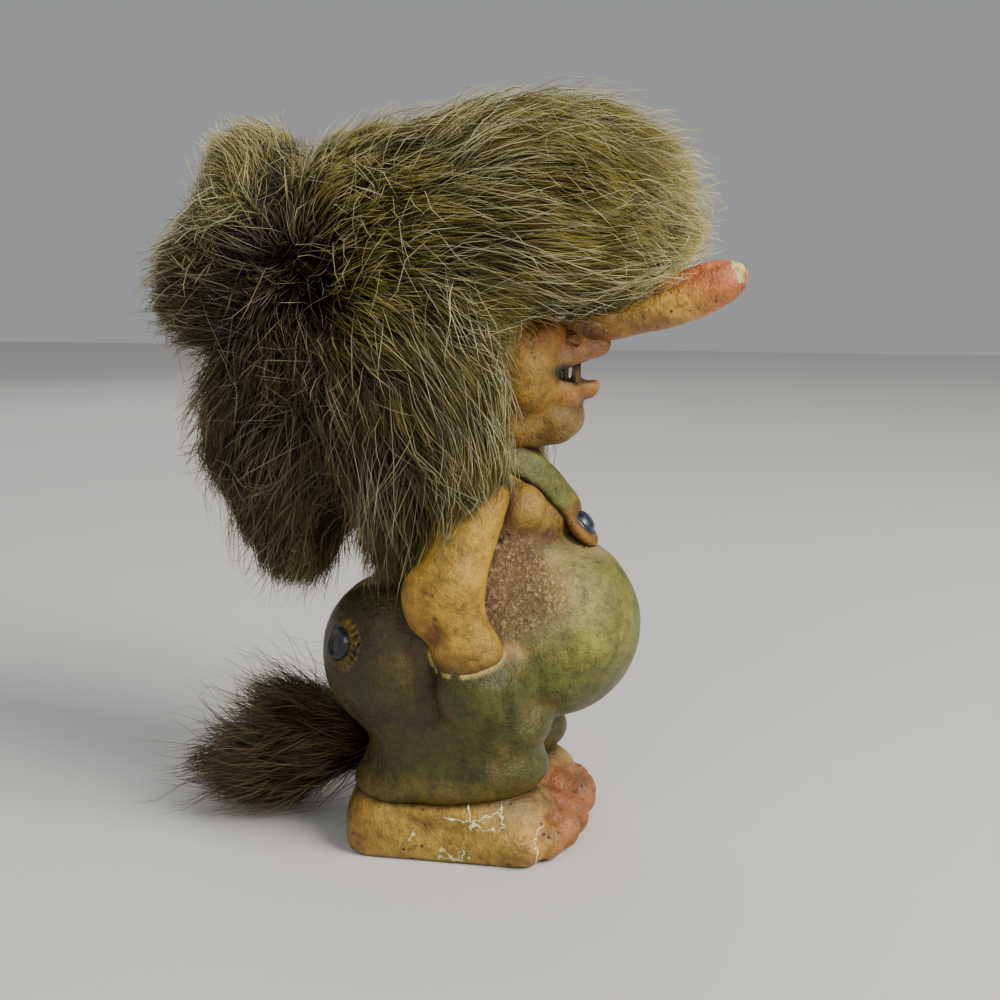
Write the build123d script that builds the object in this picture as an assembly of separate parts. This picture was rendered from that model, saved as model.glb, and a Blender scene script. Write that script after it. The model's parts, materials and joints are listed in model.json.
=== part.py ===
from build123d import *
import os

# A troll figure with a long nose, hands in its trouser pockets, a fur wig and a fur tail.
# It faces -Y, its right side is towards -X, and it stands on its soles. Sizes are in millimetres.
# "Forward" is a distance towards -Y, "side" is a distance from the middle plane.
# A name that ends in share or shares holds fractions of the sizes named beside it.

# Heights that the figure is stacked from
foot_height = 12.0
leg_length = 18.0
trunk_height = 55.0
crotch_height = foot_height + leg_length
neck_height = crotch_height + trunk_height

# General walls and clearances
skin_wall = 3.6
swing_clearance = 0.35
cut_reach = 120.0

# Feet: plump slabs with rounded corners and a row of round toes
foot_length = 42.0
foot_width = 22.5
foot_gap = 3.0
foot_corner = 9.0
foot_edge = 4.6
foot_side = (foot_gap + foot_width) / 2
# Each level: height of the foot, inset of its outline
foot_shares = [(0.0, 0.28), (0.28, 0.0), (0.68, 0.03), (1.0, 1.0)]
toe_size = 8.2
toe_reach = 6.2
# Each toe: place across the foot, setback and size
toe_shares = [(0.18, 0.0, 1.06), (0.45, 0.08, 0.96), (0.69, 0.25, 0.88), (0.88, 0.6, 0.8)]
toe_lift_share = 0.44

# Trousers: two fat legs, a crotch, buttocks, hips, a round belly and pockets
hem_overlap = 2.5
leg_width = 23.2
leg_depth = 38.0
leg_side = 12.3
hip_overlap = 4.0
leg_height = hem_overlap + leg_length + hip_overlap
# Each level: height, width, depth, forward place
leg_shares = [
    (0.0, 0.96, 0.94, -0.03),
    (0.18, 1.02, 1.0, -0.02),
    (0.45, 0.98, 0.91, 0.05),
    (0.68, 1.06, 1.07, 0.03),
    (1.0, 1.08, 1.1, 0.03),
]
crotch_size = 19.0
crotch_setback = 7.0
belly_size = 39.2
belly_reach = 18.0
belly_drop = 4.6
belly_middle = crotch_height - belly_drop + belly_size / 2
buttock_size = 34.0
buttock_side = 9.5
buttock_setback = 11.0
buttock_drop = 7.5
buttock_middle = crotch_height - buttock_drop + buttock_size / 2
hip_width = 51.0
hip_depth = 44.0
hip_height = 32.0
hip_drop = 4.0
# Each level: height, width, depth, forward place
hip_shares = [
    (0.0, 0.86, 0.84, 0.02),
    (0.25, 0.98, 0.98, 0.02),
    (0.55, 1.0, 1.0, 0.05),
    (0.82, 0.88, 0.92, 0.08),
    (1.0, 0.74, 0.78, 0.1),
]
pocket_size = 21.0
pocket_side = 18.6
pocket_forward = 6.5
pocket_drop = 8.6

# The seam between trousers and torso is a plane that falls towards the back
waist_rise = 29.0
waist_tilt = 14.0

# Torso: a pear that narrows to the neck, with two soft breasts
torso_width = 42.0
torso_depth = 40.0
# Each level: height, width, depth, forward place
torso_shares = [
    (0.36, 1.0, 1.0, 0.15),
    (0.51, 1.0, 0.97, 0.11),
    (0.655, 0.98, 0.88, 0.12),
    (0.765, 0.95, 0.76, 0.14),
    (0.855, 0.76, 0.59, 0.15),
    (0.93, 0.52, 0.48, 0.14),
    (1.0, 0.45, 0.45, 0.125),
]
breast_size = 10.4
breast_side = 14.0
breast_forward = 15.4
breast_fall = 13.0
neck_core_size = 10.0
neck_size = 17.6
neck_length = 9.0
neck_forward = torso_depth * torso_shares[-1][-1]

# Shoulder strap that leans to the right shoulder, with a round tab and a button on the chest
strap_width = 8.0
strap_thickness = 1.8
strap_lean = 35.0
tab_size = 11.0
tab_thickness = 3.6
tab_forward = 25.0
tab_fall = 18.4
tab_tilt = 40.0
bib_button_size = 7.4
bib_button_height = 2.8

# Seat buttons, one towards the back of each hip, each in a raised rim
button_round_share = 0.42
seat_button_size = 7.0
seat_button_height = 3.0
seat_button_side = 22.4
seat_button_setback = 20.0
seat_button_rise = 4.6
seat_button_turn = 36.0
seat_button_tip = 14.0
rim_thickness = 1.6

# Arms: straight down from the shoulders, hands in the pockets
arm_width = 12.6
arm_depth = 16.2
arm_spread = 26.0
arm_length = 49.5
arm_top_drop = 5.5
# Each level: height, width, depth, side place, forward place
arm_shares = [
    (0.0, 0.64, 0.68, 0.85, 0.48),
    (0.12, 0.77, 0.78, 0.9, 0.46),
    (0.24, 0.84, 0.84, 0.96, 0.39),
    (0.38, 0.92, 0.94, 1.0, 0.25),
    (0.54, 1.0, 1.02, 1.0, 0.1),
    (0.7, 1.0, 0.93, 0.95, 0.22),
    (0.86, 1.02, 0.84, 0.86, 0.37),
    (0.96, 0.9, 0.74, 0.72, 0.4),
    (1.0, 0.55, 0.48, 0.64, 0.4),
]

# Head: a round skull with a muzzle, cheeks, a chin and two full lips round an open mouth
skull_size = 41.0
skull_forward = 1.5
skull_rise = 22.5
muzzle_size = 28.0
muzzle_forward = 10.5
muzzle_rise = 12.5
cheek_size = 17.0
cheek_side = 9.0
cheek_forward = 13.5
cheek_rise = 13.0
chin_size = 9.6
chin_side = 4.4
chin_forward = 19.6
chin_rise = 3.4
upper_lip_size = 25.0
upper_lip_thickness = 5.6
upper_lip_forward = 17.7
upper_lip_rise = 17.4
lower_lip_size = 22.0
lower_lip_thickness = 5.4
lower_lip_forward = 17.0
lower_lip_rise = 8.8
mouth_size = 18.0
mouth_height = 3.0
mouth_forward = 25.6
mouth_rise = 13.0
eye_size = 5.6
eye_side = 6.6
eye_forward = 20.1
eye_rise = 26.0
tooth_width = 2.2
tooth_depth = 1.8
tooth_height = 4.4
tooth_side = 5.4
tooth_forward = 22.6
tooth_rise = 13.8

# Nose: a long club that rises forward from the middle of the face
nose_thickness = 9.6
nose_length = 33.0
nose_lift = 9.4
nose_forward = 19.6
nose_rise = 21.8
# Each ring: along the nose, up its lift, thickness
nose_shares = [(0.0, 0.0, 0.94), (0.33, 0.2, 0.9), (0.57, 0.42, 0.98), (0.8, 0.7, 1.0), (1.0, 1.0, 0.88)]

# Wig: a fabric cap on the skull, open at the face behind a slanted hairline
cap_thickness = 0.9
hairline_forward = 9.0
hairline_rise = 15.0
hairline_tilt = 31.0

# Fur masses of the wig. Two run from front to back, the others hang from top to bottom.
crown_fur_length = 76.0
crown_fur_width = 62.0
crown_fur_height = 38.0
crown_fur_forward = 50.0
crown_fur_rise = 48.0
# Each ring: length, width, height, height of its middle
crown_shares = [
    (0.0, 0.22, 0.16, -0.18),
    (0.07, 0.52, 0.42, -0.13),
    (0.21, 0.8, 0.78, -0.04),
    (0.37, 0.95, 1.0, -0.01),
    (0.59, 1.0, 1.0, -0.02),
    (0.82, 0.92, 0.94, -0.06),
    (1.0, 0.72, 0.66, -0.06),
]
back_fur_length = 45.0
back_fur_width = 57.0
back_fur_height = 50.0
# The tuft starts a little way inside the end of the crown's fur
fur_overlap = 4.0
back_fur_setback = crown_fur_length - crown_fur_forward - fur_overlap
back_fur_rise = 42.0
# The tuft dips behind the crown, swells, and droops to its end
back_shares = [
    (0.0, 0.74, 0.56, 0.02),
    (0.24, 0.94, 0.75, -0.05),
    (0.5, 1.0, 0.94, -0.04),
    (0.72, 0.84, 0.8, -0.12),
    (0.9, 0.52, 0.44, -0.23),
    (1.0, 0.2, 0.14, -0.26),
]
nape_fur_height = 64.0
nape_fur_width = 56.0
nape_fur_depth = 48.0
nape_fur_drop = 33.0
# Each level: height, width, depth, forward place
nape_shares = [
    (0.0, 0.28, 0.2, -0.73),
    (0.09, 0.62, 0.52, -0.75),
    (0.23, 0.86, 0.82, -0.77),
    (0.42, 0.97, 1.0, -0.75),
    (0.61, 1.0, 1.0, -0.73),
    (0.8, 0.96, 0.96, -0.75),
    (1.0, 0.8, 0.72, -0.83),
]
side_fur_height = 70.0
side_fur_width = 26.0
side_fur_depth = 44.0
side_fur_side = 22.5
side_fur_drop = 29.0
# Each level: height, width, depth, side place, forward place
side_shares = [
    (0.0, 0.3, 0.16, 1.0, -0.24),
    (0.09, 0.62, 0.36, 1.0, -0.22),
    (0.23, 0.85, 0.64, 1.0, -0.21),
    (0.36, 0.94, 0.84, 1.0, -0.17),
    (0.48, 1.0, 0.98, 1.0, -0.1),
    (0.6, 1.0, 0.96, 1.0, -0.14),
    (0.75, 0.98, 0.92, 0.98, -0.15),
    (0.89, 0.8, 0.76, 0.9, -0.14),
    (1.0, 0.44, 0.4, 0.84, -0.14),
]

# Tail: a soft root that swings from side to side, in a bushy tuft of fur
tail_root_size = 5.2
tail_root_height = 17.5
tail_root_setback = 15.6
tail_core_length = 16.0
tail_core_end_size = 2.6
tail_core_fall = 8.0
tail_fur_length = 49.0
tail_fur_width = 27.0
tail_fur_height = 26.6
tail_fur_setback = 20.0
tail_floor_gap = 0.7
# Each ring: length, width, height, height of its middle
tail_shares = [
    (0.0, 0.22, 0.26, 0.12),
    (0.12, 0.56, 0.64, 0.04),
    (0.27, 0.88, 0.94, 0.01),
    (0.43, 1.0, 1.0, 0.0),
    (0.62, 0.86, 0.8, -0.08),
    (0.82, 0.6, 0.5, -0.2),
    (1.0, 0.26, 0.2, -0.27),
]


# The origin is on the floor, midway between the tip of the nose and the end of the tail
nose_end = nose_forward + nose_length + nose_thickness * nose_shares[-1][-1] / 2
tail_end = tail_fur_setback + tail_fur_length
origin_setback = (tail_end - nose_end) / 2


def at(side, forward, height):
    """A place by its distance from the middle plane, its forward reach from the feet and its height."""
    return Pos(side, -forward - origin_setback, height)


def on_head(side, forward, rise):
    """A place on the head, its height measured from the neck's top."""
    return at(side, forward, neck_height + rise)


def mirrored(shape):
    """The same shape on the figure's other side."""
    return mirror(shape, about=Plane.YZ)


def largest(shape):
    """The biggest solid that a cut leaves."""
    return Part() + shape.solids().sort_by(SortBy.VOLUME)[-1]


def column(base, height, width, depth, rows, spread=0.0):
    """A solid through level ellipses. A row is height, width, depth, side if spread, forward."""
    rings = []
    for row in rows:
        side = spread * row[3] if spread else 0.0
        level = at(side, depth * row[-1], base + height * row[0])
        rings.append(level * Ellipse(width * row[1] / 2, depth * row[2] / 2))
    return loft(Sketch() + rings)


def plume(start, length, width, height, middle, rows):
    """A solid through upright ellipses, front to back. A row is length, width, height, middle."""
    rings = []
    for along, wide, high, lift in rows:
        upright = at(0, -start - length * along, middle + height * lift) * Rot(90, 0, 0)
        rings.append(upright * Ellipse(width * wide / 2, height * high / 2))
    return loft(Sketch() + rings)


def puck(size, thickness):
    """A level disc with a fully rounded rim."""
    ring = size / 2 - thickness / 2
    return Torus(ring, thickness / 2) + Cylinder(ring, thickness)


def button(size, height):
    """A flat disc with both edges rounded."""
    disc = Cylinder(size / 2, height)
    return fillet(disc.edges().filter_by(GeomType.CIRCLE), height * button_round_share)


def make_foot():
    """One left foot: a slab through rounded rectangles, with four toes, flat underneath."""
    levels = []
    for height_share, inset_share in foot_shares:
        inset = foot_edge * inset_share
        outline = RectangleRounded(foot_width - 2 * inset, foot_length - 2 * inset, foot_corner - inset)
        levels.append(Pos(0, 0, foot_height * height_share) * outline)
    foot = loft(Sketch() + levels)
    for across, setback, size in toe_shares:
        side = foot_width * (across - 1 / 2)
        forward = foot_length / 2 + toe_reach - toe_size * size / 2 - toe_size * setback
        foot += Pos(side, -forward, toe_size * size * toe_lift_share) * Sphere(toe_size * size / 2)
    foot = split(foot, bisect_by=Plane.XY, keep=Keep.TOP)
    return at(foot_side, 0, 0) * foot


def make_arm():
    """One left arm, from its rounded shoulder to the hand that sits in the pocket."""
    base = neck_height - arm_top_drop - arm_length
    return column(base, arm_length, arm_width, arm_depth, arm_shares, arm_spread)


def make_torso(grow=0.0):
    """The pear of chest, shoulders and neck, without its breasts."""
    return column(crotch_height, trunk_height, torso_width + grow, torso_depth + grow, torso_shares)


def make_breast():
    """The left breast."""
    return at(breast_side, breast_forward, neck_height - breast_fall) * Sphere(breast_size / 2)


def make_trousers():
    """Legs, crotch, buttocks, hips, belly and pockets fused to one outer shape."""
    leg = column(foot_height - hem_overlap, leg_height, leg_width, leg_depth, leg_shares)
    leg = Pos(leg_side, 0, 0) * leg
    buttock = at(buttock_side, -buttock_setback, buttock_middle) * Sphere(buttock_size / 2)
    pocket = at(pocket_side, pocket_forward, belly_middle - pocket_drop) * Sphere(pocket_size / 2)
    shape = column(crotch_height - hip_drop, hip_height, hip_width, hip_depth, hip_shares)
    shape += at(0, belly_reach, belly_middle) * Sphere(belly_size / 2)
    shape += at(0, -crotch_setback, crotch_height - crotch_size / 2) * Sphere(crotch_size / 2)
    for lump in (buttock, leg, pocket):
        shape += lump
        shape += mirrored(lump)
    return shape


def make_foam_core():
    """The foam that fills the casting's hollow, from the seat up through the neck to the skull."""
    reach = 2 * skin_wall
    hips = column(crotch_height, hip_height - hip_drop, hip_width - reach, hip_depth - reach, hip_shares)
    belly = at(0, belly_reach, belly_middle) * Sphere(belly_size / 2 - skin_wall)
    chest = make_torso(-2 * reach)
    core_width = 2 * (arm_spread * arm_shares[0][3] - arm_width / 2 - skin_wall / 2)
    core = (hips + belly + chest) & Pos(0, 0, crotch_height) * Box(core_width, cut_reach, cut_reach)
    stem = skull_rise + breast_fall
    core += on_head(0, neck_forward, stem / 2 - breast_fall) * Cylinder(neck_core_size / 2, stem)
    core += on_head(0, skull_forward, skull_rise) * Sphere(skull_size / 2 - skin_wall)
    return core


def make_head():
    """Neck, skull, muzzle, cheeks, chin and lips, with an open mouth between the lips."""
    head = on_head(0, skull_forward, skull_rise) * Sphere(skull_size / 2)
    head += on_head(0, neck_forward, neck_length / 2) * Cylinder(neck_size / 2, neck_length)
    head += on_head(0, muzzle_forward, muzzle_rise) * Sphere(muzzle_size / 2)
    for side in (-1, 1):
        head += on_head(side * cheek_side, cheek_forward, cheek_rise) * Sphere(cheek_size / 2)
        head += on_head(side * chin_side, chin_forward, chin_rise) * Sphere(chin_size / 2)
    chin_bar = Rot(0, 90, 0) * Cylinder(chin_size / 2, 2 * chin_side)
    head += on_head(0, chin_forward, chin_rise) * chin_bar
    head += on_head(0, upper_lip_forward, upper_lip_rise) * puck(upper_lip_size, upper_lip_thickness)
    head += on_head(0, lower_lip_forward, lower_lip_rise) * puck(lower_lip_size, lower_lip_thickness)
    return head - on_head(0, mouth_forward, mouth_rise) * Cylinder(mouth_size / 2, mouth_height)


def make_nose():
    """A club through rings that stand square to its rising line, closed by a round tip."""
    places = []
    for along, up, thick in nose_shares:
        place = on_head(0, nose_forward + nose_length * along, nose_rise + nose_lift * up)
        places.append(place.position)
    rings = []
    for index, (along, up, thick) in enumerate(nose_shares):
        before = places[max(index - 1, 0)]
        after = places[min(index + 1, len(places) - 1)]
        ring = Plane(places[index], x_dir=(1, 0, 0), z_dir=after - before)
        rings.append(ring * Circle(nose_thickness * thick / 2))
    tip_size = nose_thickness * nose_shares[-1][-1]
    return loft(Sketch() + rings) + Pos(places[-1]) * Sphere(tip_size / 2)


def make_capped_skull():
    """The skull as large as the cap makes it."""
    return on_head(0, skull_forward, skull_rise) * Sphere(skull_size / 2 + cap_thickness)


def make_cap(head):
    """The wig's fabric cap: a thin shell on the skull, cut off at the hairline."""
    shell = make_capped_skull() - on_head(0, skull_forward, skull_rise) * Sphere(skull_size / 2)
    hairline = on_head(0, hairline_forward, hairline_rise) * Rot(hairline_tilt, 0, 0)
    return (shell & hairline * Pos(0, cut_reach / 2, 0) * Box(cut_reach, cut_reach, cut_reach)) - head


def make_strap():
    """A band that hugs the torso on a slant, with a round tab where it is buttoned in front."""
    slant = at(0, 0, neck_height - tab_fall) * Rot(0, -strap_lean, 0)
    slab = slant * Pos(0, 0, cut_reach / 2 - tab_size / 4) * Box(strap_width, cut_reach, cut_reach)
    band = make_torso(2 * strap_thickness) & slab
    place = at(0, tab_forward, neck_height - tab_fall) * Rot(90 - tab_tilt, 0, 0)
    tab = place * Pos(0, 0, -tab_thickness / 2) * Cylinder(tab_size / 2, tab_thickness)
    return band + tab


def make_crown():
    """The fur that is swept forward over the brow."""
    start = -crown_fur_forward
    middle = neck_height + crown_fur_rise
    return plume(start, crown_fur_length, crown_fur_width, crown_fur_height, middle, crown_shares)


def make_back():
    """The fur that stands out behind the skull."""
    middle = neck_height + back_fur_rise
    return plume(back_fur_setback, back_fur_length, back_fur_width, back_fur_height, middle, back_shares)


def make_nape():
    """The fur that hangs behind the shoulders."""
    base = neck_height - nape_fur_drop
    return column(base, nape_fur_height, nape_fur_width, nape_fur_depth, nape_shares)


def make_lock():
    """The fur that hangs over the left cheek and shoulder."""
    base = neck_height - side_fur_drop
    return column(base, side_fur_height, side_fur_width, side_fur_depth, side_shares, side_fur_side)


waist = at(0, 0, crotch_height + waist_rise) * Rot(-waist_tilt, 0, 0)
above_waist = waist * Pos(0, 0, cut_reach / 2) * Box(cut_reach, cut_reach, cut_reach)

# Limbs, and the foam inside the body
feet = [mirrored(make_foot()), make_foot()]
arms = [mirrored(make_arm()), make_arm()]
torso = make_torso()
trousers = make_trousers()
foam_core = make_foam_core()

# Seat buttons and the raised rims that they sit in
seat_place = at(seat_button_side, -seat_button_setback, buttock_middle + seat_button_rise)
seat_place = seat_place * Rot(0, 0, seat_button_turn) * Rot(0, 90 - seat_button_tip, 0)
seat_button = seat_place * button(seat_button_size, seat_button_height)
seat_rim = seat_place * Torus(seat_button_size / 2 + rim_thickness / 4, rim_thickness / 2)
seat_buttons = [mirrored(seat_button), seat_button]

# The soft root of the tail turns in a round socket under the seat
tail_root = at(0, -tail_root_setback, tail_root_height)
tail_socket = tail_root * Sphere(tail_root_size / 2 + swing_clearance)
tail_core = tail_root * Rot(-90 - tail_core_fall, 0, 0) * Pos(0, 0, tail_core_length / 2) * Cone(
    tail_root_size / 2, tail_core_end_size / 2, tail_core_length
)
tail_core += tail_root * Sphere(tail_root_size / 2)
tail_middle = tail_floor_gap + tail_fur_height / 2
tail_fur = plume(
    tail_fur_setback, tail_fur_length, tail_fur_width, tail_fur_height, tail_middle, tail_shares
)
tail_fur -= tail_core

# Head with its nose, eyes and teeth let in
nose = make_nose()
head = make_head()
head_casting = head - torso - foam_core
teeth = []
eyes = []
for side in (-1, 1):
    tooth = Box(tooth_width, tooth_depth, tooth_height)
    tooth = on_head(side * tooth_side, tooth_forward, tooth_rise) * tooth
    eye = on_head(side * eye_side, eye_forward, eye_rise) * Sphere(eye_size / 2)
    head_casting = head_casting - tooth - eye
    teeth.append(tooth)
    eyes.append(eye)
head_casting = largest(head_casting - nose)

# The body's two castings, parted at the waist
chest = torso + make_breast() + mirrored(make_breast())
body = trousers + chest
body = body + seat_rim + mirrored(seat_rim) - foam_core
for piece in feet + arms + seat_buttons + [tail_socket]:
    body -= piece
torso_casting = largest(body & above_waist)
trousers_casting = largest(body - above_waist)

# Strap and its button
bib_place = at(0, tab_forward, neck_height - tab_fall) * Rot(90 - tab_tilt, 0, 0)
bib_button = bib_place * button(bib_button_size, bib_button_height)
strap = make_strap() - make_torso() - make_breast() - mirrored(make_breast())
strap = largest(strap - make_trousers() - make_head() - mirrored(make_arm()) - bib_button)

# Wig cap and fur masses: each is cut back to the ones above it and to what it hangs over
cap = make_cap(head)
crown_fur = largest(make_crown() - make_capped_skull() - make_head() - make_nose())
back_fur = largest(make_back() - make_crown() - make_capped_skull())
nape_fur = make_nape() - make_crown() - make_back() - make_capped_skull() - make_head()
nape_fur = largest(nape_fur - make_torso(2 * strap_thickness) - make_trousers())
left_side_fur = make_lock() - make_crown() - make_nape() - make_capped_skull() - make_head()
left_side_fur = largest(left_side_fur - make_torso(2 * strap_thickness) - make_arm())

nodes = {
    "right_foot": feet[0],
    "left_foot": feet[1],
    "right_arm": arms[0],
    "left_arm": arms[1],
    "trousers_casting": trousers_casting,
    "torso_casting": torso_casting,
    "foam_core": foam_core,
    "head_casting": head_casting,
    "nose": nose,
    "right_eye": eyes[0],
    "left_eye": eyes[1],
    "right_tooth": teeth[0],
    "left_tooth": teeth[1],
    "shoulder_strap": strap,
    "bib_button": bib_button,
    "right_seat_button": seat_buttons[0],
    "left_seat_button": seat_buttons[1],
    "wig_cap": cap,
    "crown_fur": crown_fur,
    "back_fur": back_fur,
    "nape_fur": nape_fur,
    "right_side_fur": mirrored(left_side_fur),
    "left_side_fur": left_side_fur,
    "tail_root": tail_core,
    "tail_fur": tail_fur,
}

os.makedirs("parts", exist_ok=True)
for name, shape in nodes.items():
    export_step(shape, f"parts/{name}.step")
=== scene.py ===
import bpy
import json
import math
import numpy as np
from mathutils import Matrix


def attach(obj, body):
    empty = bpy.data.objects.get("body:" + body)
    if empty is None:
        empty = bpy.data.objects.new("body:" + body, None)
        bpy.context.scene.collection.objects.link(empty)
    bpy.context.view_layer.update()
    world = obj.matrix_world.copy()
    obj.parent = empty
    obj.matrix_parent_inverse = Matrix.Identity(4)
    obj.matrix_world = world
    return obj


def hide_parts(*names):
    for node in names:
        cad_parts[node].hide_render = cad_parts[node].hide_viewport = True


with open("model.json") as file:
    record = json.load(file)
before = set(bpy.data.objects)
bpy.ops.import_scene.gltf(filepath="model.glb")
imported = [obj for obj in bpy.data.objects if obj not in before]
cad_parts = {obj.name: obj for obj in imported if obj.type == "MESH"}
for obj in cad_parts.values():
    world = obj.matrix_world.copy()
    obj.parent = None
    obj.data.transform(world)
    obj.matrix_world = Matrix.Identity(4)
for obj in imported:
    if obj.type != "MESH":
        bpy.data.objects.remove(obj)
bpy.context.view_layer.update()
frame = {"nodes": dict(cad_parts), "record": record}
print("frame loaded")

# Shapes are worked out in millimetres. A place is written as side, forward, height: side is X, and
# forward is measured towards -Y from the middle of the soles.
mm = 0.001
soleY = frame["record"]["mounts"][0]["pos_m"][1] / mm


def spot(side, forward, height):
    # Forward is counted from the soles towards -Y
    return np.array([side, soleY - forward, height], float)


def linear(colour):
    # Screen colour from 0 to 255 turned into the linear light that shaders use
    c = np.asarray(colour, float) / 255
    return np.where(c < 0.04045, c / 12.92, ((c + 0.055) / 1.055) ** 2.4)


def circle(count):
    # Even angles once round, without the last one
    return np.linspace(0, 2 * np.pi, count, endpoint=False)


def turnedOver(points, flip):
    # X times the flip, which is 1 or -1 for each point
    return points * np.stack([flip, np.ones(len(points)), np.ones(len(points))], 1)


def unit(v):
    # Each row divided by its length
    return v / (np.sqrt((v ** 2).sum(1)) + 1e-9)[:, None]


def ease(value, low, high):
    # Smooth step: 0 below low, 1 above high, with an eased rise between them
    t = np.clip((value - low) / (high - low), 0, 1)
    return t * t * (3 - 2 * t)


def lattice(points, size, seed=0):
    # Value noise from -1 to 1: a random number at each corner of a lattice, eased between corners
    cell = points / size + 31.7 * seed
    base = np.floor(cell).astype(np.int64)
    t = cell - base
    t = t * t * (3 - 2 * t)
    total = np.zeros(len(points))
    for corner in np.ndindex(2, 2, 2):
        c = base + corner
        mixed = (c[:, 0] * 73856093) ^ (c[:, 1] * 19349663) ^ (c[:, 2] * 83492791 + seed * 7919)
        chance = ((mixed & 0xFFFFFF) * 2654435761 % 16777213) / 16777213
        share = np.prod(np.where(corner, t, 1 - t), axis=1)
        total += share * chance
    return 2 * total - 1


# Lumps: rounded cones from one place to another, squeezed along the axes, that melt into each other

def lump(a, b=None, r=5.0, end=None, squeeze=(1, 1, 1), melt=2.5, cut=False):
    # A rounded cone with radius r at a and end at b; without b it is a ball, squeezed to an egg
    a = spot(*a)
    b = a if b is None else spot(*b)
    return {"a": a, "b": b, "r": r, "end": r if end is None else end,
            "squeeze": np.array(squeeze, float), "melt": melt, "cut": cut}


def pair(*rows, **rest):
    # The same lump on the left and on the right side
    made = []
    for side in (-1, 1):
        flipped = [(side * p[0], p[1], p[2]) for p in rows]
        made.append(lump(*flipped, **rest))
    return made


def lumpDistance(points, one):
    # Distance to a rounded cone in squeezed space, scaled back by the slope of the squeeze
    s = one["squeeze"]
    q = (points - one["a"]) / s
    along = (one["b"] - one["a"]) / s
    size = along @ along
    t = np.clip(q @ along / size, 0, 1) if size > 0 else np.zeros(len(points))
    q = q - t[:, None] * along
    radius = one["r"] + t * (one["end"] - one["r"])
    length = np.sqrt((q * q).sum(1)) + 1e-9
    scaled = np.sqrt(((q / s) ** 2).sum(1)) + 1e-9
    return length * (length - radius) / scaled


def melted(points, lumps):
    # Smooth minimum of all lumps, and smooth maximum with the ones that cut
    total = np.full(len(points), 1e3)
    for one in lumps:
        d = lumpDistance(points, one)
        k = one["melt"]
        if one["cut"]:
            h = np.clip(0.5 + 0.5 * (total + d) / k, 0, 1)
            total = h * total - (1 - h) * d + k * h * (1 - h)
        else:
            h = np.clip(0.5 + 0.5 * (total - d) / k, 0, 1)
            total = h * d + (1 - h) * total - k * h * (1 - h)
    return total


def slopeOf(field, points, reach=0.03):
    # Slope of a field: the corners of a small tetrahedron, summed with the field's values as weights
    total = np.zeros_like(points)
    for corner in ((1, -1, -1), (-1, -1, 1), (-1, 1, -1), (1, 1, 1)):
        c = np.array(corner, float)
        total += c * field(points + reach * c)[:, None]
    return total / (4 * reach)


def settle(field, points, steps=4, limit=1.5):
    # Newton steps: each point moves along the slope by the field's value over the slope's square,
    # and no step is longer than the limit
    for _ in range(steps):
        slope = slopeOf(field, points)
        move = slope * (field(points) / ((slope ** 2).sum(1) + 1e-6))[:, None]
        far = np.sqrt((move ** 2).sum(1))
        points = points - move * np.minimum(1, limit / (far + 1e-9))[:, None]
    return points


def outward(field, points):
    # The slope of the field, made one unit long
    return unit(slopeOf(field, points, 0.08))


# Grids: closed surfaces over two parameters, one round the shape and one from pole to pole

def gridFaces(rows, columns, first=0):
    # Quads between neighbouring rings
    i = np.arange(rows - 1)[:, None] * columns
    j = np.arange(columns)[None, :]
    k = (j + 1) % columns
    quads = np.stack([i + j, i + k, i + columns + k, i + columns + j], -1).reshape(-1, 4) + first
    return quads


def ringsToMesh(rings):
    # The first and last rings are shrunk to a pole vertex. Triangles and quads come back apart.
    rows, columns = rings.shape[:2]
    points = np.concatenate([rings.reshape(-1, 3), rings[:1].mean(1), rings[-1:].mean(1)])
    quads = gridFaces(rows, columns)
    j = np.arange(columns)
    k = (j + 1) % columns
    low = np.stack([np.full(columns, rows * columns), k, j], -1)
    top = (rows - 1) * columns
    high = np.stack([np.full(columns, rows * columns + 1), top + j, top + k], -1)
    triangles = np.concatenate([low, high])
    # The faces are turned over if the closed shell's volume, summed over its quads, is negative
    inner = points - points.mean(0)
    a, b, c, d = (inner[quads[:, n]] for n in range(4))
    volume = (a * np.cross(b, c)).sum() + (a * np.cross(c, d)).sum()
    if volume < 0:
        quads, triangles = quads[:, ::-1], triangles[:, ::-1]
    return points, quads, triangles


def lumpShell(one, rows=20, columns=28):
    # A rounded cone as a grid: the radius turns with the sine from pole to pole
    turn = np.linspace(0.02, np.pi - 0.02, rows)
    axis = (one["b"] - one["a"]) / one["squeeze"]
    size = np.sqrt(axis @ axis)
    axis = axis / size if size > 0 else np.array([0, 0, 1.0])
    helper = np.array([1.0, 0, 0]) if abs(axis[0]) < 0.8 else np.array([0, 1.0, 0])
    u = np.cross(axis, helper)
    u /= np.sqrt(u @ u)
    v = np.cross(axis, u)
    share = (turn > np.pi / 2).astype(float)
    radius = one["r"] + share * (one["end"] - one["r"])
    place = share * size - np.cos(turn) * radius
    wide = np.sin(turn) * radius
    angle = circle(columns)
    rings = (place[:, None, None] * axis + wide[:, None, None]
             * (np.cos(angle)[None, :, None] * u + np.sin(angle)[None, :, None] * v))
    return ringsToMesh(rings * one["squeeze"] + one["a"])


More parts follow.
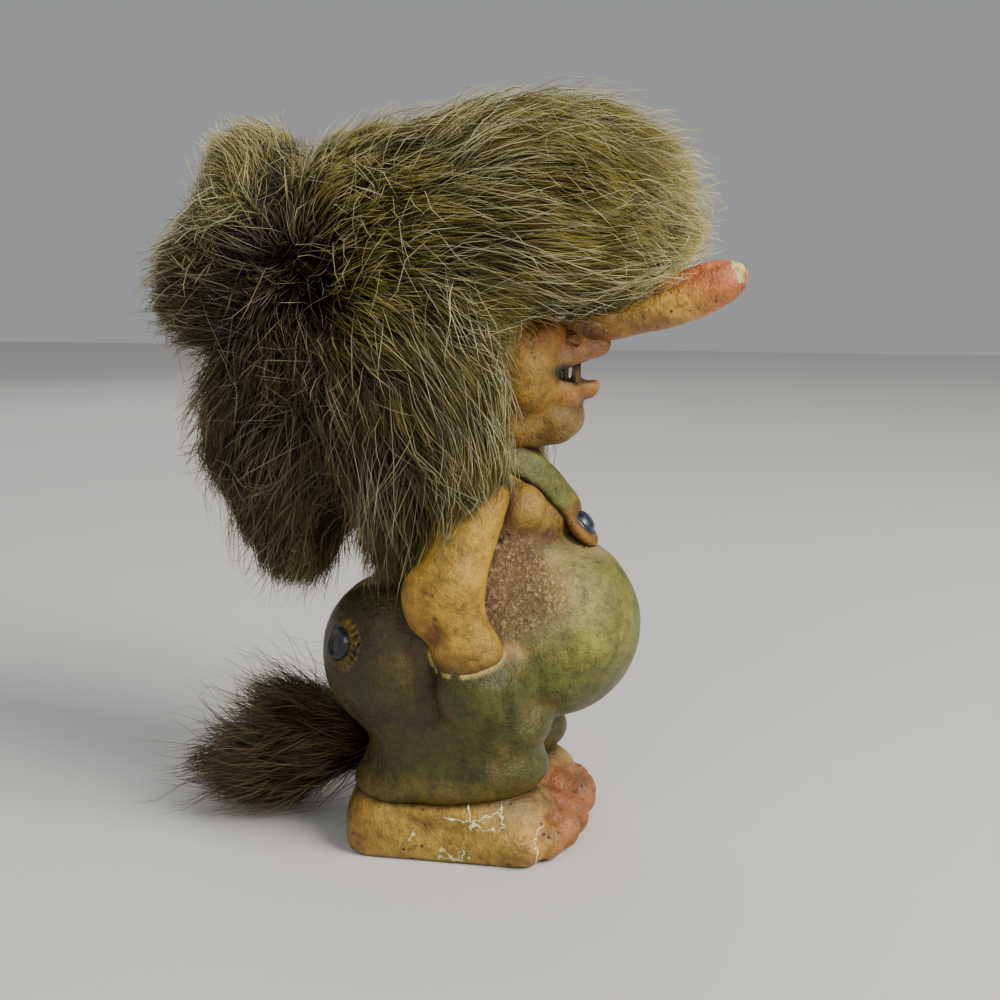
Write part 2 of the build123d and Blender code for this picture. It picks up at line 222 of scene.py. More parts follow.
def makeMesh(name, points, faceSets, smooth=True):
    # Writes whole arrays of millimetre points and of faces into a mesh in metres
    mesh = bpy.data.meshes.new(name)
    mesh.vertices.add(len(points))
    mesh.vertices.foreach_set("co", np.ascontiguousarray(points * mm, np.float32).ravel())
    corners = np.concatenate([f.ravel() for f in faceSets])
    sizes = np.concatenate([np.full(len(f), f.shape[1]) for f in faceSets])
    mesh.loops.add(len(corners))
    mesh.loops.foreach_set("vertex_index", corners.astype(np.int32))
    mesh.polygons.add(len(sizes))
    starts = np.concatenate([[0], np.cumsum(sizes)[:-1]])
    mesh.polygons.foreach_set("loop_start", starts.astype(np.int32))
    mesh.update(calc_edges=True)
    if smooth:
        mesh.polygons.foreach_set("use_smooth", np.ones(len(sizes), bool))
    return mesh


def addPiece(name, mesh, material, body, nodes=()):
    # A piece rides its body and stands for the CAD nodes that it replaces
    piece = bpy.data.objects.new(name, mesh)
    bpy.context.scene.collection.objects.link(piece)
    mesh.materials.clear()
    mesh.materials.append(material)
    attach(piece, body)
    if nodes:
        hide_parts(*nodes)
    return piece


def storeNumber(mesh, name, values):
    # One number, or one colour, for every vertex
    mesh.attributes.new(name, "FLOAT", "POINT").data.foreach_set("value", values.astype(np.float32))


def storeColour(mesh, name, colours):
    rgba = np.concatenate([colours, np.ones((len(colours), 1))], 1)
    layer = mesh.attributes.new(name, "FLOAT_COLOR", "POINT")
    layer.data.foreach_set("color", rgba.astype(np.float32).ravel())


def fusedShell(shells, voxel):
    # Overlapping closed shells are joined and become one skin of quads by a voxel remesh, which counts
    # in millimetres here
    starts = np.cumsum([0] + [len(shell[0]) for shell in shells])
    faces = [np.concatenate([shell[k] + first for shell, first in zip(shells, starts)]) for k in (1, 2)]
    mesh = makeMesh("shell", np.concatenate([shell[0] for shell in shells]) / mm, faces)
    holder = bpy.data.objects.new("shell", mesh)
    bpy.context.scene.collection.objects.link(holder)
    remesh = holder.modifiers.new("skin", "REMESH")
    remesh.mode = "VOXEL"
    remesh.voxel_size = voxel
    remesh.adaptivity = 0
    graph = bpy.context.evaluated_depsgraph_get()
    graph.update()
    skin = bpy.data.meshes.new_from_object(holder.evaluated_get(graph))
    p = np.empty(len(skin.vertices) * 3, np.float32)
    skin.vertices.foreach_get("co", p)
    f = np.empty(len(skin.loops), np.int32)
    skin.loops.foreach_get("vertex_index", f)
    bpy.data.objects.remove(holder)
    bpy.data.meshes.remove(mesh)
    bpy.data.meshes.remove(skin)
    return p.reshape(-1, 3).astype(float), f.reshape(-1, 4)


def growSkin(lumps, field, voxel, press=None):
    # The lumps' shells are fused and settled onto the field twice, so that quads stay even in hollows
    shells = [lumpShell(one) for one in lumps if not one["cut"]]
    points, quads = fusedShell(shells, voxel * 1.4)
    if press:
        points = press(points)
    points = settle(field, points, 4)
    points, quads = fusedShell([(points, quads, np.zeros((0, 3), int))], voxel)
    return settle(field, points, 5), quads


# Shader maths: a socket that adds Math nodes when it is used in an expression

class Value:
    def __init__(self, maker, socket):
        self.maker, self.socket = maker, socket

    def math(self, operation, *others):
        # One Math node with this value in its first socket
        inputs = {0: self}
        inputs.update({i + 1: other for i, other in enumerate(others)})
        return self.maker.node("ShaderNodeMath", {"operation": operation}, inputs)

    def __add__(self, other):
        return self.math("ADD", other)

    def __sub__(self, other):
        return self.math("SUBTRACT", other)

    def __mul__(self, other):
        return self.math("MULTIPLY", other)

    def __pow__(self, other):
        return self.math("POWER", other)

    __radd__, __rmul__ = __add__, __mul__

    def __rsub__(self, other):
        return self.maker.node("ShaderNodeMath", {"operation": "SUBTRACT"}, {0: other, 1: self})

    def rise(self, low, high):
        # 0 below low, 1 above high, eased between
        return self.maker.node("ShaderNodeMapRange", {"interpolation_type": "SMOOTHSTEP"},
                               {"Value": self, "From Min": low, "From Max": high})


class Maker:
    def __init__(self, name):
        self.material = bpy.data.materials.new(name)
        self.material.use_nodes = True
        self.tree = self.material.node_tree
        self.tree.nodes.clear()
        self.place = self.node("ShaderNodeTexCoord", output="Object")

    def node(self, kind, settings=None, inputs=None, output=0):
        # Settings come first, then each socket takes a number, a colour or a link
        made = self.tree.nodes.new(kind)
        for key, value in (settings or {}).items():
            if key == "stops":
                ramp = made.color_ramp
                while len(ramp.elements) < len(value):
                    ramp.elements.new(0.5)
                for element, (where, colour) in zip(ramp.elements, value):
                    element.position = where
                    element.color = (*colour, 1)
            else:
                setattr(made, key, value)
        for key, value in (inputs or {}).items():
            socket = made.inputs[key]
            if isinstance(value, Value):
                self.tree.links.new(value.socket, socket)
            else:
                socket.default_value = value
        return Value(self, made.outputs[output])

    def noise(self, size, detail=3.0, rough=0.5, warp=0.0):
        # Noise whose blots are about this many millimetres across
        return self.node("ShaderNodeTexNoise", {}, {
            "Vector": self.place, "Scale": 0.7 / (size * mm), "Detail": detail,
            "Roughness": rough, "Distortion": warp})

    def cells(self, size, feature="F1", where=None):
        # Distance to the nearest random dot, or to the border of its cell, about one dot to a size
        return self.node("ShaderNodeTexVoronoi", {"feature": feature}, {
            "Vector": where or self.place, "Scale": 1 / (size * mm)}, "Distance")

    def number(self, name):
        # What is stored on the surface
        return self.node("ShaderNodeAttribute", {"attribute_name": name}, output="Fac")

    def colour(self, name):
        return self.node("ShaderNodeAttribute", {"attribute_name": name}, output="Color")

    def mix(self, share, first, second, blend="MIX"):
        # Colours are mixed by the Mix node, whose colour sockets are 6 and 7
        def ready(c):
            return c if isinstance(c, Value) else (*c, 1)
        return self.node("ShaderNodeMix", {"data_type": "RGBA", "blend_type": blend},
                         {0: share, 6: ready(first), 7: ready(second)}, 2)

    def axes(self):
        # The place of a point on the object, as three numbers
        parts = self.node("ShaderNodeSeparateXYZ", {}, {0: self.place}).socket.node
        return [Value(self, output) for output in parts.outputs]

    def grey(self, value):
        # One number as a colour
        return self.node("ShaderNodeCombineColor", {}, {0: value, 1: value, 2: value})

    def finish(self, base, rough, bump=None, depth=0.2, constants=None):
        # The surface, with a bump as many millimetres deep as said
        inputs = {"Base Color": base, "Roughness": rough}
        inputs.update(constants or {})
        if bump is not None:
            inputs["Normal"] = self.node("ShaderNodeBump", {}, {
                "Height": bump, "Strength": 1.0, "Distance": depth * mm}, "Normal")
        shader = self.node("ShaderNodeBsdfPrincipled", {}, inputs, "BSDF")
        end = self.tree.nodes.new("ShaderNodeOutputMaterial")
        self.tree.links.new(shader.socket, end.inputs["Surface"])
        return self.material


rubberLook = {
    "blotch": 5.0, "mottle": 1.6, "grain": 0.5,      # sizes of the paint's variation in mm
    "darkest": 0.5, "lightest": 1.55, "grime": 0.75, "stain": 0.34,
    "crackColour": (226, 214, 150), "speckColour": (74, 46, 24),
    "crackSize": 7.0, "speckSize": 2.3,
    "varnish": (0.72, 0.66, 0.36),                   # amber varnish over all paint
    "stainSize": 8.0, "stainColour": (96, 72, 34), "grimeSize": 2.2, "grimeTint": (0.42, 0.36, 0.28),
    "pitSize": 0.7, "pitDark": (92, 64, 48), "pitPale": (190, 156, 112), "pitShare": 0.55,
    "gateSize": 6.0, "crackBend": 0.0026, "crackGate": 4.0, "poreSize": 1.3, "bump": 0.42,
}


def paintedRubber(name, look):
    # Brushed paint over rubber: the tint is stored on the surface, and noise of three sizes mottles it.
    # Speckles, cream cracks and the rough stippling come where the stored numbers say.
    m = Maker(name)
    tint = m.colour("tint")
    wear, stipple, gloss = m.number("wear"), m.number("stipple"), m.number("gloss")
    blotch = m.noise(look["blotch"], 4)
    mottle = m.noise(look["mottle"], 4, 0.6)
    grain = m.noise(look["grain"], 3, 0.7)
    blend = blotch * 0.4 + mottle * 0.36 + grain * 0.24
    strength = blend.rise(0.33, 0.67) * (look["lightest"] - look["darkest"]) + look["darkest"]
    base = m.mix(1.0, tint, m.grey(strength), "MULTIPLY")
    base = m.mix(1.0, base, look["varnish"], "MULTIPLY")
    # Wide brown stains, and grime: fine dark stains left in the paint's hollows
    stain = m.noise(look["stainSize"], 4, 0.6, warp=0.5).rise(0.5, 0.68) * look["stain"]
    base = m.mix(stain, base, linear(look["stainColour"]))
    grime = m.noise(look["grimeSize"], 6, 0.72, warp=0.6).rise(0.5, 0.7) * look["grime"]
    base = m.mix(grime, base, m.mix(1.0, base, look["grimeTint"], "MULTIPLY"))
    # Stippled flank: dark pits between pale grains
    pits = m.noise(look["pitSize"], 4, 0.7, warp=0.9).rise(0.34, 0.66)
    grains = m.mix(pits, linear(look["pitDark"]), linear(look["pitPale"]))
    base = m.mix(stipple * look["pitShare"], base, grains)
    # Small dark speckles, gated by a wider noise
    dots = 1 - m.cells(look["speckSize"]).rise(0.1, 0.2)
    gate = m.noise(look["gateSize"], 2).rise(0.44, 0.58)
    speck = dots * gate * m.number("speckle")
    base = m.mix(speck, base, linear(look["speckColour"]))
    # Cream cracks where the rubber shows: thin crooked cell borders
    bent = m.node("ShaderNodeVectorMath", {"operation": "MULTIPLY_ADD"}, {
        0: m.node("ShaderNodeTexNoise", {}, {"Vector": m.place, "Scale": 700.0, "Detail": 3.0}, "Color"),
        1: (look["crackBend"],) * 3, 2: m.place})
    border = m.cells(look["crackSize"], "DISTANCE_TO_EDGE", bent)
    line = 1 - border.rise(0.012, 0.03)
    crack = line * (wear + m.noise(look["crackGate"], 2) - 0.95).rise(0.0, 0.2)
    base = m.mix(crack, base, linear(look["crackColour"]))
    rough = 0.62 - gloss * 0.3 + mottle * 0.12 - 0.06
    pores = 1 - m.cells(look["poreSize"]).rise(0.05, 0.3)
    pitting = grain * 0.7 + mottle * 1.1 + pits * stipple * 1.3 - crack * 0.7 - speck * 0.3 - pores * 0.12
    return m.finish(base, rough, pitting, look["bump"], {"Specular IOR Level": 0.4})


def eyeGlass():
    # Painted eye: white with a brown iris and a black pupil that look ahead
    m = Maker("eyeGlass")
    x, _, z = m.axes()
    side = x.math("ABSOLUTE") - eyeBall["side"] * mm
    up = z - eyeBall["height"] * mm
    far = (side * side + up * up) ** 0.5
    iris = m.mix(far.rise(0.0014, 0.0016), linear((70, 38, 16)), linear((214, 204, 180)))
    base = m.mix(far.rise(0.0006, 0.0008), linear((8, 6, 5)), iris)
    return m.finish(base, m.noise(1.0) * 0.1 + 0.12)


def plainPaint(name, dark, light, size, rough, bump=0.1):
    # One paint with mottling between a dark and a light tone
    m = Maker(name)
    tone = m.noise(size, 4, 0.6)
    fine = m.noise(size * 0.25, 3, 0.6)
    base = m.mix((tone * 0.6 + fine * 0.4).rise(0.35, 0.65), linear(dark), linear(light))
    return m.finish(base, fine * 0.2 + (rough - 0.1), fine, bump)


def wovenBacking():
    # Dark knitted backing: two crossed waves of half a millimetre
    m = Maker("wovenBacking")
    waves = []
    for direction in ("X", "Z"):
        waves.append(m.node("ShaderNodeTexWave", {"bands_direction": direction}, {
            "Vector": m.place, "Scale": 320.0, "Distortion": 1.5}, "Fac"))
    weave = waves[0] * waves[1]
    base = m.mix(weave, linear((22, 17, 10)), linear((52, 42, 26)))
    return m.finish(base, weave * 0.1 + 0.85, weave, 0.15)


def furStrand(name, look):
    # Pile fibre: dark at the root, olive gold at the tip, with a shade of its own for every strand that
    # also holds painted light and shade, and pale strands with painted glints
    m = Maker(name)
    along, shade, pale = m.number("along"), m.number("shade"), m.number("pale")
    colour = m.node("ShaderNodeValToRGB", {"stops": [(p, linear(c)) for p, c in look["stops"]]},
                    {0: along + (m.noise(9.0, 2) - 0.5) * 0.35})
    colour = m.mix(1.0, colour, m.grey(shade), "MULTIPLY")
    # Painted glint: pale colour towards the tips of some strands, which are also less rough
    colour = m.mix(pale * along.rise(0.1, 0.7), colour, linear(look["pale"]))
    rough = 0.5 - pale * 0.14 - shade * 0.06
    return m.finish(colour, rough, None, 0, {"Specular IOR Level": look["shine"]})


# Body: every casting is a field of lumps. Rows are side, forward and height in mm.

def egg(centre, radii, **rest):
    # A ball of radius one, squeezed by the three radii
    return lump(centre, r=1.0, squeeze=radii, **rest)


def eggs(centre, radii, **rest):
    # The same egg on both sides
    return pair(centre, r=1.0, squeeze=radii, **rest)


trouserLumps = [
    egg((0, 2, 42), (24.6, 21.5, 17.0)),
    egg((0, 17.6, 45), (19.4, 19.6, 19.6), melt=3.0),
    lump((0, -7, 21), r=9.0, melt=3.0),
    *eggs((9.5, -11, 39.5), (16.5, 16.9, 17.4), melt=3.0),
    *eggs((12.2, 1.6, 27), (12.6, 19.2, 11.0), melt=3.0),
    *eggs((12.2, -0.4, 18.5), (11.4, 17.8, 9.5), melt=3.5),
    *eggs((12.4, -1.8, 14.6), (11.2, 17.8, 4.2), melt=4.0),
    *eggs((12.4, -10.6, 13.6), (11.0, 9.8, 4.4), melt=2.4),
    *eggs((12.2, 9.0, 18.0), (9.8, 11.0, 5.6), melt=3.0),
    *eggs((18.2, 6.6, 36.4), (10.8, 10.8, 10.8), melt=2.4),
    *pair((25.8, -4.0, 45), (25.2, -1.0, 32), r=0.3, melt=4.0, cut=True),
    *pair((25.2, 14.5, 36), (21.5, 14.0, 25), r=0.3, melt=3.0, cut=True),
    *pair((10.5, -22.5, 53.5), (14.5, -18.0, 56.5), r=0.8, melt=1.6, cut=True),
]
torsoLumps = [
    egg((0, 4.6, 56), (21.2, 19.2, 15), melt=3.0),
    egg((0, 5, 67), (20, 16.8, 10), melt=3.0),
    egg((0, 5.6, 75), (16.5, 11.8, 8), melt=3.0),
    lump((0, 5.4, 76), (0, 6, 90), r=9.4, end=8.8, melt=3.0),
    *eggs((15.5, 6, 74.5), (7, 6.6, 6.4), melt=3.0),
    lump((0, 18.6, 70), (-4.5, 13.0, 79), r=4.0, end=4.2, melt=4.0),
    egg((-14.0, 14.6, 71.8), (5.2, 5.2, 5.0), melt=1.6),
    egg((13.6, 11.8, 71.4), (5.0, 5.0, 4.8), melt=1.6),
    *pair((18.6, 10.5, 66.7), (9.5, 18.6, 66.2), r=0.6, melt=1.6, cut=True),
]
armLumps = [
    lump((-19.6, 6.6, 74.6), (-24.2, 3.4, 60), r=6.9, end=6.1, squeeze=(0.86, 1, 1)),
    lump((-24.6, 1.4, 56.5), (-22.8, 5.6, 44), r=7.1, end=6.2, squeeze=(0.8, 1, 1), melt=4.0),
    egg((-25.2, -2.2, 54.0), (4.2, 4.2, 6.0), melt=3.0),
    lump((-22.6, 6.0, 43.5), (-20.4, 7.2, 36), r=6.6, end=5.0, squeeze=(0.8, 1.05, 1), melt=2.0),
    lump((-29.0, 1.0, 52.5), (-28.6, 2.0, 46.5), r=0.2, melt=1.6, cut=True),
]
footLumps = [
    lump((-18.0, -14.4, 3.6), (-17.6, 14.2, 3.4), r=6.8, end=6.4, squeeze=(0.95, 1, 1)),
    lump((-7.6, -14.4, 3.6), (-7.6, 14.8, 3.4), r=6.8, end=6.4, squeeze=(0.95, 1, 1), melt=5.0),
    egg((-12.8, -12.6, 7.0), (10.6, 9.0, 6.6), melt=3.0),
    egg((-12.4, 8.0, 8.2), (10.4, 14.0, 6.2), melt=3.0),
    egg((-12.4, -2.0, 10.0), (11.6, 18.0, 3.6), melt=3.0),
    lump((-5.6, 16.0, 6.2), (-5.2, 23.0, 4.8), r=5.0, end=4.7, melt=1.6),
    lump((-11.6, 16.0, 5.6), (-11.4, 22.8, 4.2), r=4.2, end=4.1, melt=1.1),
    lump((-16.8, 14.6, 5.0), (-17.0, 20.8, 3.9), r=3.9, end=3.8, melt=1.1),
    lump((-20.8, 12.4, 4.6), (-21.2, 17.4, 3.5), r=3.5, end=3.4, melt=1.1),
]
headLumps = [
    egg((0, 1.5, 107.5), (20.4, 20.5, 20.5)),
    egg((0, 10.5, 97.5), (14, 13.6, 14), melt=3.0),
    *eggs((9.4, 13.6, 99), (8.4, 7.6, 9.0), melt=2.2),
    lump((0, 5.8, 84), (0, 5.6, 95), r=8.9, end=10, melt=3.0),
    *pair((11.5, 6.0, 88.5), (5.0, 15.5, 86.6), r=4.6, end=4.2, melt=3.0),
    lump((-4.2, 19.6, 88.2), (4.2, 19.6, 88.2), r=4.9, melt=1.6),
    lump((-9.0, 16.8, 116.5), (9.0, 16.8, 116.5), r=4.4, melt=3.0),
    *eggs((8.2, 17.6, 105.8), (6.4, 4.6, 4.6), melt=1.0),
    lump((0, 18.5, 104.4), (0, 23.0, 104.6), r=5.0, end=3.4, squeeze=(1.5, 1, 1), melt=3.0),
    *pair((10.0, 16.4, 98.8), (6.4, 21.8, 100.9), r=2.3, end=2.4, melt=2.2),
    *pair((6.4, 21.8, 100.9), (0, 27.8, 103.4), r=2.4, end=2.1, melt=1.8),
    *pair((10.0, 16.4, 96.4), (6.2, 21.2, 94.4), r=2.2, end=2.5, melt=1.6),
    *pair((6.2, 21.2, 94.4), (0, 25.6, 95.0), r=2.5, end=2.2, melt=1.6),
    lump((0, 18.5, 91.5), r=5.6, squeeze=(1.4, 1, 1), melt=2.4),
    egg((0, 21.5, 98.0), (9.4, 9.0, 2.2), melt=0.9, cut=True),
    *eggs((6.6, 21.6, 111), (3.7, 3.4, 3.0), melt=1.0, cut=True),
    *pair((10.2, 18.5, 108.6), (3.8, 20.8, 108.3), r=1.2, melt=1.0),
    *pair((10.2, 18.3, 113.4), (3.8, 20.9, 113.6), r=1.4, melt=1.0),
    *pair((4.6, 21.6, 108.5), (5.0, 23.2, 103.8), r=1.0, end=1.3, melt=1.2, cut=True),
]


def cutsLast(lumps):
    # The lumps that cut come after all the others
    return sorted(lumps, key=lambda one: one["cut"])


headLumps = cutsLast(headLumps)
trunkLumps = cutsLast(trouserLumps + torsoLumps)
waist = {"height": 59.0, "tilt": math.radians(14.0), "dive": 0.35, "lap": 3.0}
modelling = {"trunk": (0.3, 7.0, 1), "arm": (0.22, 6.0, 5), "foot": (0.25, 4.5, 9), "head": (0.2, 6.0, 13),
             "nose": (0.16, 5.0, 17)}     # depth and size of the hand's unevenness in mm, and its seed
quadSize = {"trunk": 0.6, "arm": 0.55, "foot": 0.5, "head": 0.5, "strap": 0.4}     # mm


def mirrorLumps(lumps):
    # The same lumps on the left side
    flip = np.array([-1.0, 1, 1])
    return [{**one, "a": one["a"] * flip, "b": one["b"] * flip} for one in lumps]


def trunkField(points):
    # Trousers and torso melted into one
    return melted(points, trunkLumps)


def overWaist(points):
    # Height over the slanted seam between trousers and torso
    forward = soleY - points[:, 1]
    return (points[:, 2] - waist["height"]) * math.cos(waist["tilt"]) - forward * math.sin(waist["tilt"])


def pressBack(way):
    # What lies further past the seam than the lap is pushed back square to the seam's plane.
    # Past is above it for the trousers (way 1) and below it for the torso (way -1).
    square = np.array([0, math.sin(waist["tilt"]), math.cos(waist["tilt"])])

    def press(points):
        past = np.maximum(way * overWaist(points) - waist["lap"], 0)
        return points - way * past[:, None] * square
    return press


def handWork(points, depth, size, seed):
    # Uneven modelling by hand: two sizes of value noise, the finer one with a third of the depth
    return depth * (lattice(points, size, seed) * 0.65 + lattice(points, size * 0.42, seed + 3) * 0.35)


def buttonRing(points):
    # How far a place is from the circle that stands round each seat button, less the ring's half width
    here = turnedOver(points, np.where(points[:, 0] < 0, -1.0, 1.0)) - spot(*seatButton["centre"])
    facing = np.array(seatButton["facing"]) / math.sqrt(sum(c * c for c in seatButton["facing"]))
    along = here @ facing
    across = np.sqrt(np.maximum((here ** 2).sum(1) - along ** 2, 0))
    far = np.sqrt((across - seatButton["rimRadius"]) ** 2 + (along + seatButton["rimSunk"]) ** 2)
    return far - seatButton["rimThickness"]


def trunkSkin(points, past):
    # The trunk with its unevenness; past the seam the skin dives under the other half's
    return trunkField(points) + waist["dive"] * ease(past, 0, 1.2) + handWork(points, *modelling["trunk"])


def trouserField(points):
    # The skin below the seam, with the ring round each button melted on by a smooth minimum
    over = overWaist(points)
    d = trunkSkin(points, over)
    ring = buttonRing(points)
    k = seatButton["rimMelt"]
    h = np.clip(0.5 + 0.5 * (d - ring) / k, 0, 1)
    d = h * ring + (1 - h) * d - k * h * (1 - h)
    return np.maximum(d, over - waist["lap"])


def torsoField(points):
    # The skin above the seam
    under = -overWaist(points)
    return np.maximum(trunkSkin(points, under), under - waist["lap"])


def limbField(part, side):
    # An arm or a foot with its unevenness; the foot is cut off flat at the floor
    lumps = {"arm": armLumps, "foot": footLumps}[part]
    if side > 0:
        lumps = mirrorLumps(lumps)

    def field(points):
        d = melted(points, lumps) + handWork(points, *modelling[part])
        return np.maximum(d, 0.02 - points[:, 2]) if part == "foot" else d
    return lumps, field


def headField(points):
    # The head's lumps with their unevenness
    return melted(points, headLumps) + handWork(points, *modelling["head"])


allLumps = trunkLumps + armLumps + mirrorLumps(armLumps) + headLumps


def hollowness(points, normals, reach=1.6):
    # How closed in a place is: the free way ahead of it, compared with that of a flat surface
    free = np.minimum(melted(points + normals * reach, allLumps), reach)
    # The floor counts too, so what is near it gets painted shade
    free = np.minimum(free, (points[:, 2] + reach) * 0.6)
    return np.clip(1 - free / reach, 0, 1)


def both(zone):
    # A zone and its mirror image on the other side
    centre, *rest = zone
    return [zone, ((-centre[0], *centre[1:]), *rest)]


# Paint zones: centre, radii, colour, strength, softness. Later zones go over earlier ones.
shadeBrown = (58, 36, 14)
paint = {
    "trousers": {"base": (74, 78, 24), "gloss": 0.75, "speckle": 0.35},
    "torso": {"base": (146, 114, 62), "gloss": 0.35},
    "arm": {"base": (178, 143, 60), "gloss": 0.5, "speckle": 0.3},
    "foot": {"base": (174, 146, 76), "gloss": 0.55, "speckle": 1.0},
    "head": {"base": (142, 110, 46), "gloss": 0.5, "speckle": 0.6},
    "strap": {"base": (100, 103, 42), "gloss": 0.5, "speckle": 0.4},
}
marks = {"halo": (54, 42, 14), "ring": (132, 108, 42), "torn": (206, 190, 132)}
hollowShade = {"power": 1.3, "strength": 0.85}            # painted shade: how brown the hollows, and the skin near the floor, get
brushEdge = [(3.4, 21, 0.16), (1.3, 22, 0.08)]     # size in mm, seed and strength of a brush's ragged edge
trouserZones = [
    ((0, -14, 42), (40, 17, 30), (52, 52, 8), 0.8, 0.5),
    ((0, 20, 47), (30, 22, 19), (110, 117, 54), 0.9, 0.35),
    # Painted highlight: pale spots on the belly's front, stronger on the right side
    ((-12, 30, 50), (9, 10, 9), (150, 150, 84), 0.6, 0.7),
    ((12, 30, 50), (9, 10, 9), (150, 150, 84), 0.4, 0.7),
    ((0, 24, 29), (24, 14, 7), (84, 80, 26), 0.6, 0.6),
    ((0, 0, 22), (40, 30, 8), (67, 64, 9), 0.8, 0.6),
    ((0, -3, 12.6), (40, 22, 4.6), (108, 88, 28), 0.8, 0.6),
    *both(((-22, 9, 38), (8, 10, 6), (56, 68, 16), 0.8, 0.6)),
    *both(((-24, -6, 50), (9, 6, 14), (92, 74, 36), 0.7, 0.6)),
    ((0, 27, 63), (11, 8, 4), (150, 132, 118), 0.8, 0.6),
]
flankZones = [
    *both(((-20, 13, 57.5), (10, 14, 11), (120, 98, 74), 1.0, 0.35)),
    ((-18, 19, 51), (6, 6, 7), (126, 124, 92), 0.8, 0.6),
    ((-15, 23, 60), (4, 3.4, 6), (206, 184, 140), 0.7, 0.7),
    ((-20, 16, 61), (4, 5, 2.6), (168, 134, 70), 0.6, 0.7),
    ((-19.5, 12.5, 44.5), (4, 5, 1.8), (186, 150, 92), 0.8, 0.6),
]
torsoZones = [
    ((0, 5, 84), (30, 30, 8), (136, 112, 58), 0.8, 0.5),
    *both(((-14.2, 17, 71.8), (5, 5, 4.6), (152, 125, 54), 0.95, 0.4)),
    *both(((-10, 16, 65.6), (11, 9, 1.8), (72, 50, 26), 0.8, 0.6)),
    ((0, 20, 70), (7, 7, 9), (124, 104, 52), 0.8, 0.5),
    ((0, -14, 66), (30, 10, 20), (120, 90, 48), 0.8, 0.5),
] + flankZones
armZones = [
    ((-27, -5, 50), (6, 5, 14), (168, 122, 56), 0.7, 0.6),
    ((-28, 0.2, 49), (3.0, 1.6, 3.4), (110, 66, 30), 0.85, 0.5),
    ((-24, 1, 68), (7, 10, 9), (186, 152, 72), 0.5, 0.7),
    ((-24, 6, 40.5), (11, 11, 3.4), (112, 92, 38), 0.9, 0.5),
    # Painted shade: thin dark line where the pocket's edge overhangs the hand
    ((-29, 6, 44.5), (3.5, 4.5, 0.8), (84, 58, 24), 0.6, 0.6),
]
footZones = [
    ((-12.8, -18, 6), (14, 7, 8), (146, 105, 46), 0.8, 0.5),
    # Painted shade: darker band on top of the foot, under the overhanging trouser hem
    ((-12.8, 2, 12.6), (12, 15, 2.6), (104, 82, 42), 0.85, 0.5),
    ((-13, 14, 10.5), (10, 7, 3.2), (120, 106, 92), 0.8, 0.6),
    ((-22, 0, 5.5), (4, 13, 3.4), (188, 160, 86), 0.6, 0.6),
    ((-12, 25, 4), (14, 7, 8), (163, 101, 77), 0.85, 0.45),
    ((-4, 20, 8), (6, 9, 6), (152, 88, 70), 0.8, 0.6),
    ((-22, 18, 4), (4, 6, 5), (176, 140, 80), 0.8, 0.6),
]
footWear = [((-20, 8, 10), (6, 9, 2.4)), ((-20, 5, 2), (5, 12, 1.8)), ((-20, 19, 5), (5, 4, 4)),
            ((-21, -5, 5.5), (4, 5, 2.0))]
headZones = [
    ((0, 22, 88), (14, 10, 5), (116, 97, 42), 0.9, 0.5),
    ((0, 8, 84), (20, 12, 6), (150, 118, 56), 0.8, 0.5),
    *both(((-13, 16, 99), (7, 8, 9), (142, 108, 45), 0.8, 0.6)),
    ((0, 18, 107), (16, 7, 4.5), (162, 92, 30), 0.85, 0.5),
    ((0, 26, 102.3), (11, 8, 3.2), (138, 94, 62), 0.95, 0.35),
    ((0, 23, 94.0), (10, 7, 2.6), (168, 112, 61), 0.9, 0.4),
    ((0, 19, 98.0), (12.5, 10.5, 2.8), (22, 12, 8), 1.0, 0.2),
    *both(((-17.5, 14, 99), (5, 9, 7), (176, 140, 62), 0.45, 0.7)),
    ((0, 24, 90.6), (9, 5, 1.0), (96, 70, 36), 0.7, 0.6),
    # Painted shade: dark brown beside and under the nose's root
    ((0, 22, 106.5), (6.5, 5, 2.4), (84, 54, 28), 0.85, 0.5),
    *both(((-6.6, 21, 111), (4.4, 4, 3.6), (96, 60, 30), 0.7, 0.5)),
]


def brushZones(points, base, zones, mirror=False):
    # Each zone is an egg whose edge is broken by noise; its colour is laid over what is there
    colours = np.tile(linear(base), (len(points), 1))
    ragged = sum(lattice(points, size, seed) * strength for size, seed, strength in brushEdge)
    for centre, radii, colour, strength, soft in zones:
        c = spot(*centre)
        if mirror:
            c = c * np.array([-1.0, 1, 1])
        far = np.sqrt((((points - c) / np.array(radii, float)) ** 2).sum(1)) + ragged
        share = strength * (1 - ease(far, 1 - soft, 1 + soft))
        colours += share[:, None] * (linear(colour) - colours)
    return colours


def nearEgg(points, centre, radii, soft=0.4):
    # 1 inside an egg, 0 outside, eased over its softness on both sides of the shell
    far = np.sqrt((((points - spot(*centre)) / np.array(radii, float)) ** 2).sum(1))
    return 1 - ease(far, 1 - soft, 1 + soft)


rubber = paintedRubber("paintedRubber", rubberLook)


def addPainted(name, node, slot, mesh, points, colours, **numbers):
    # Stores the tint and the numbers of wear, stippling, gloss and specks, and adds the piece
    for word, value in {"wear": 0.0, "stipple": 0.0, "gloss": 0.4, "speckle": 0.5, **numbers}.items():
        storeNumber(mesh, word, np.zeros(len(points)) + value)
    storeColour(mesh, "tint", colours)
    addPiece(name, mesh, rubber, "figure", [node])


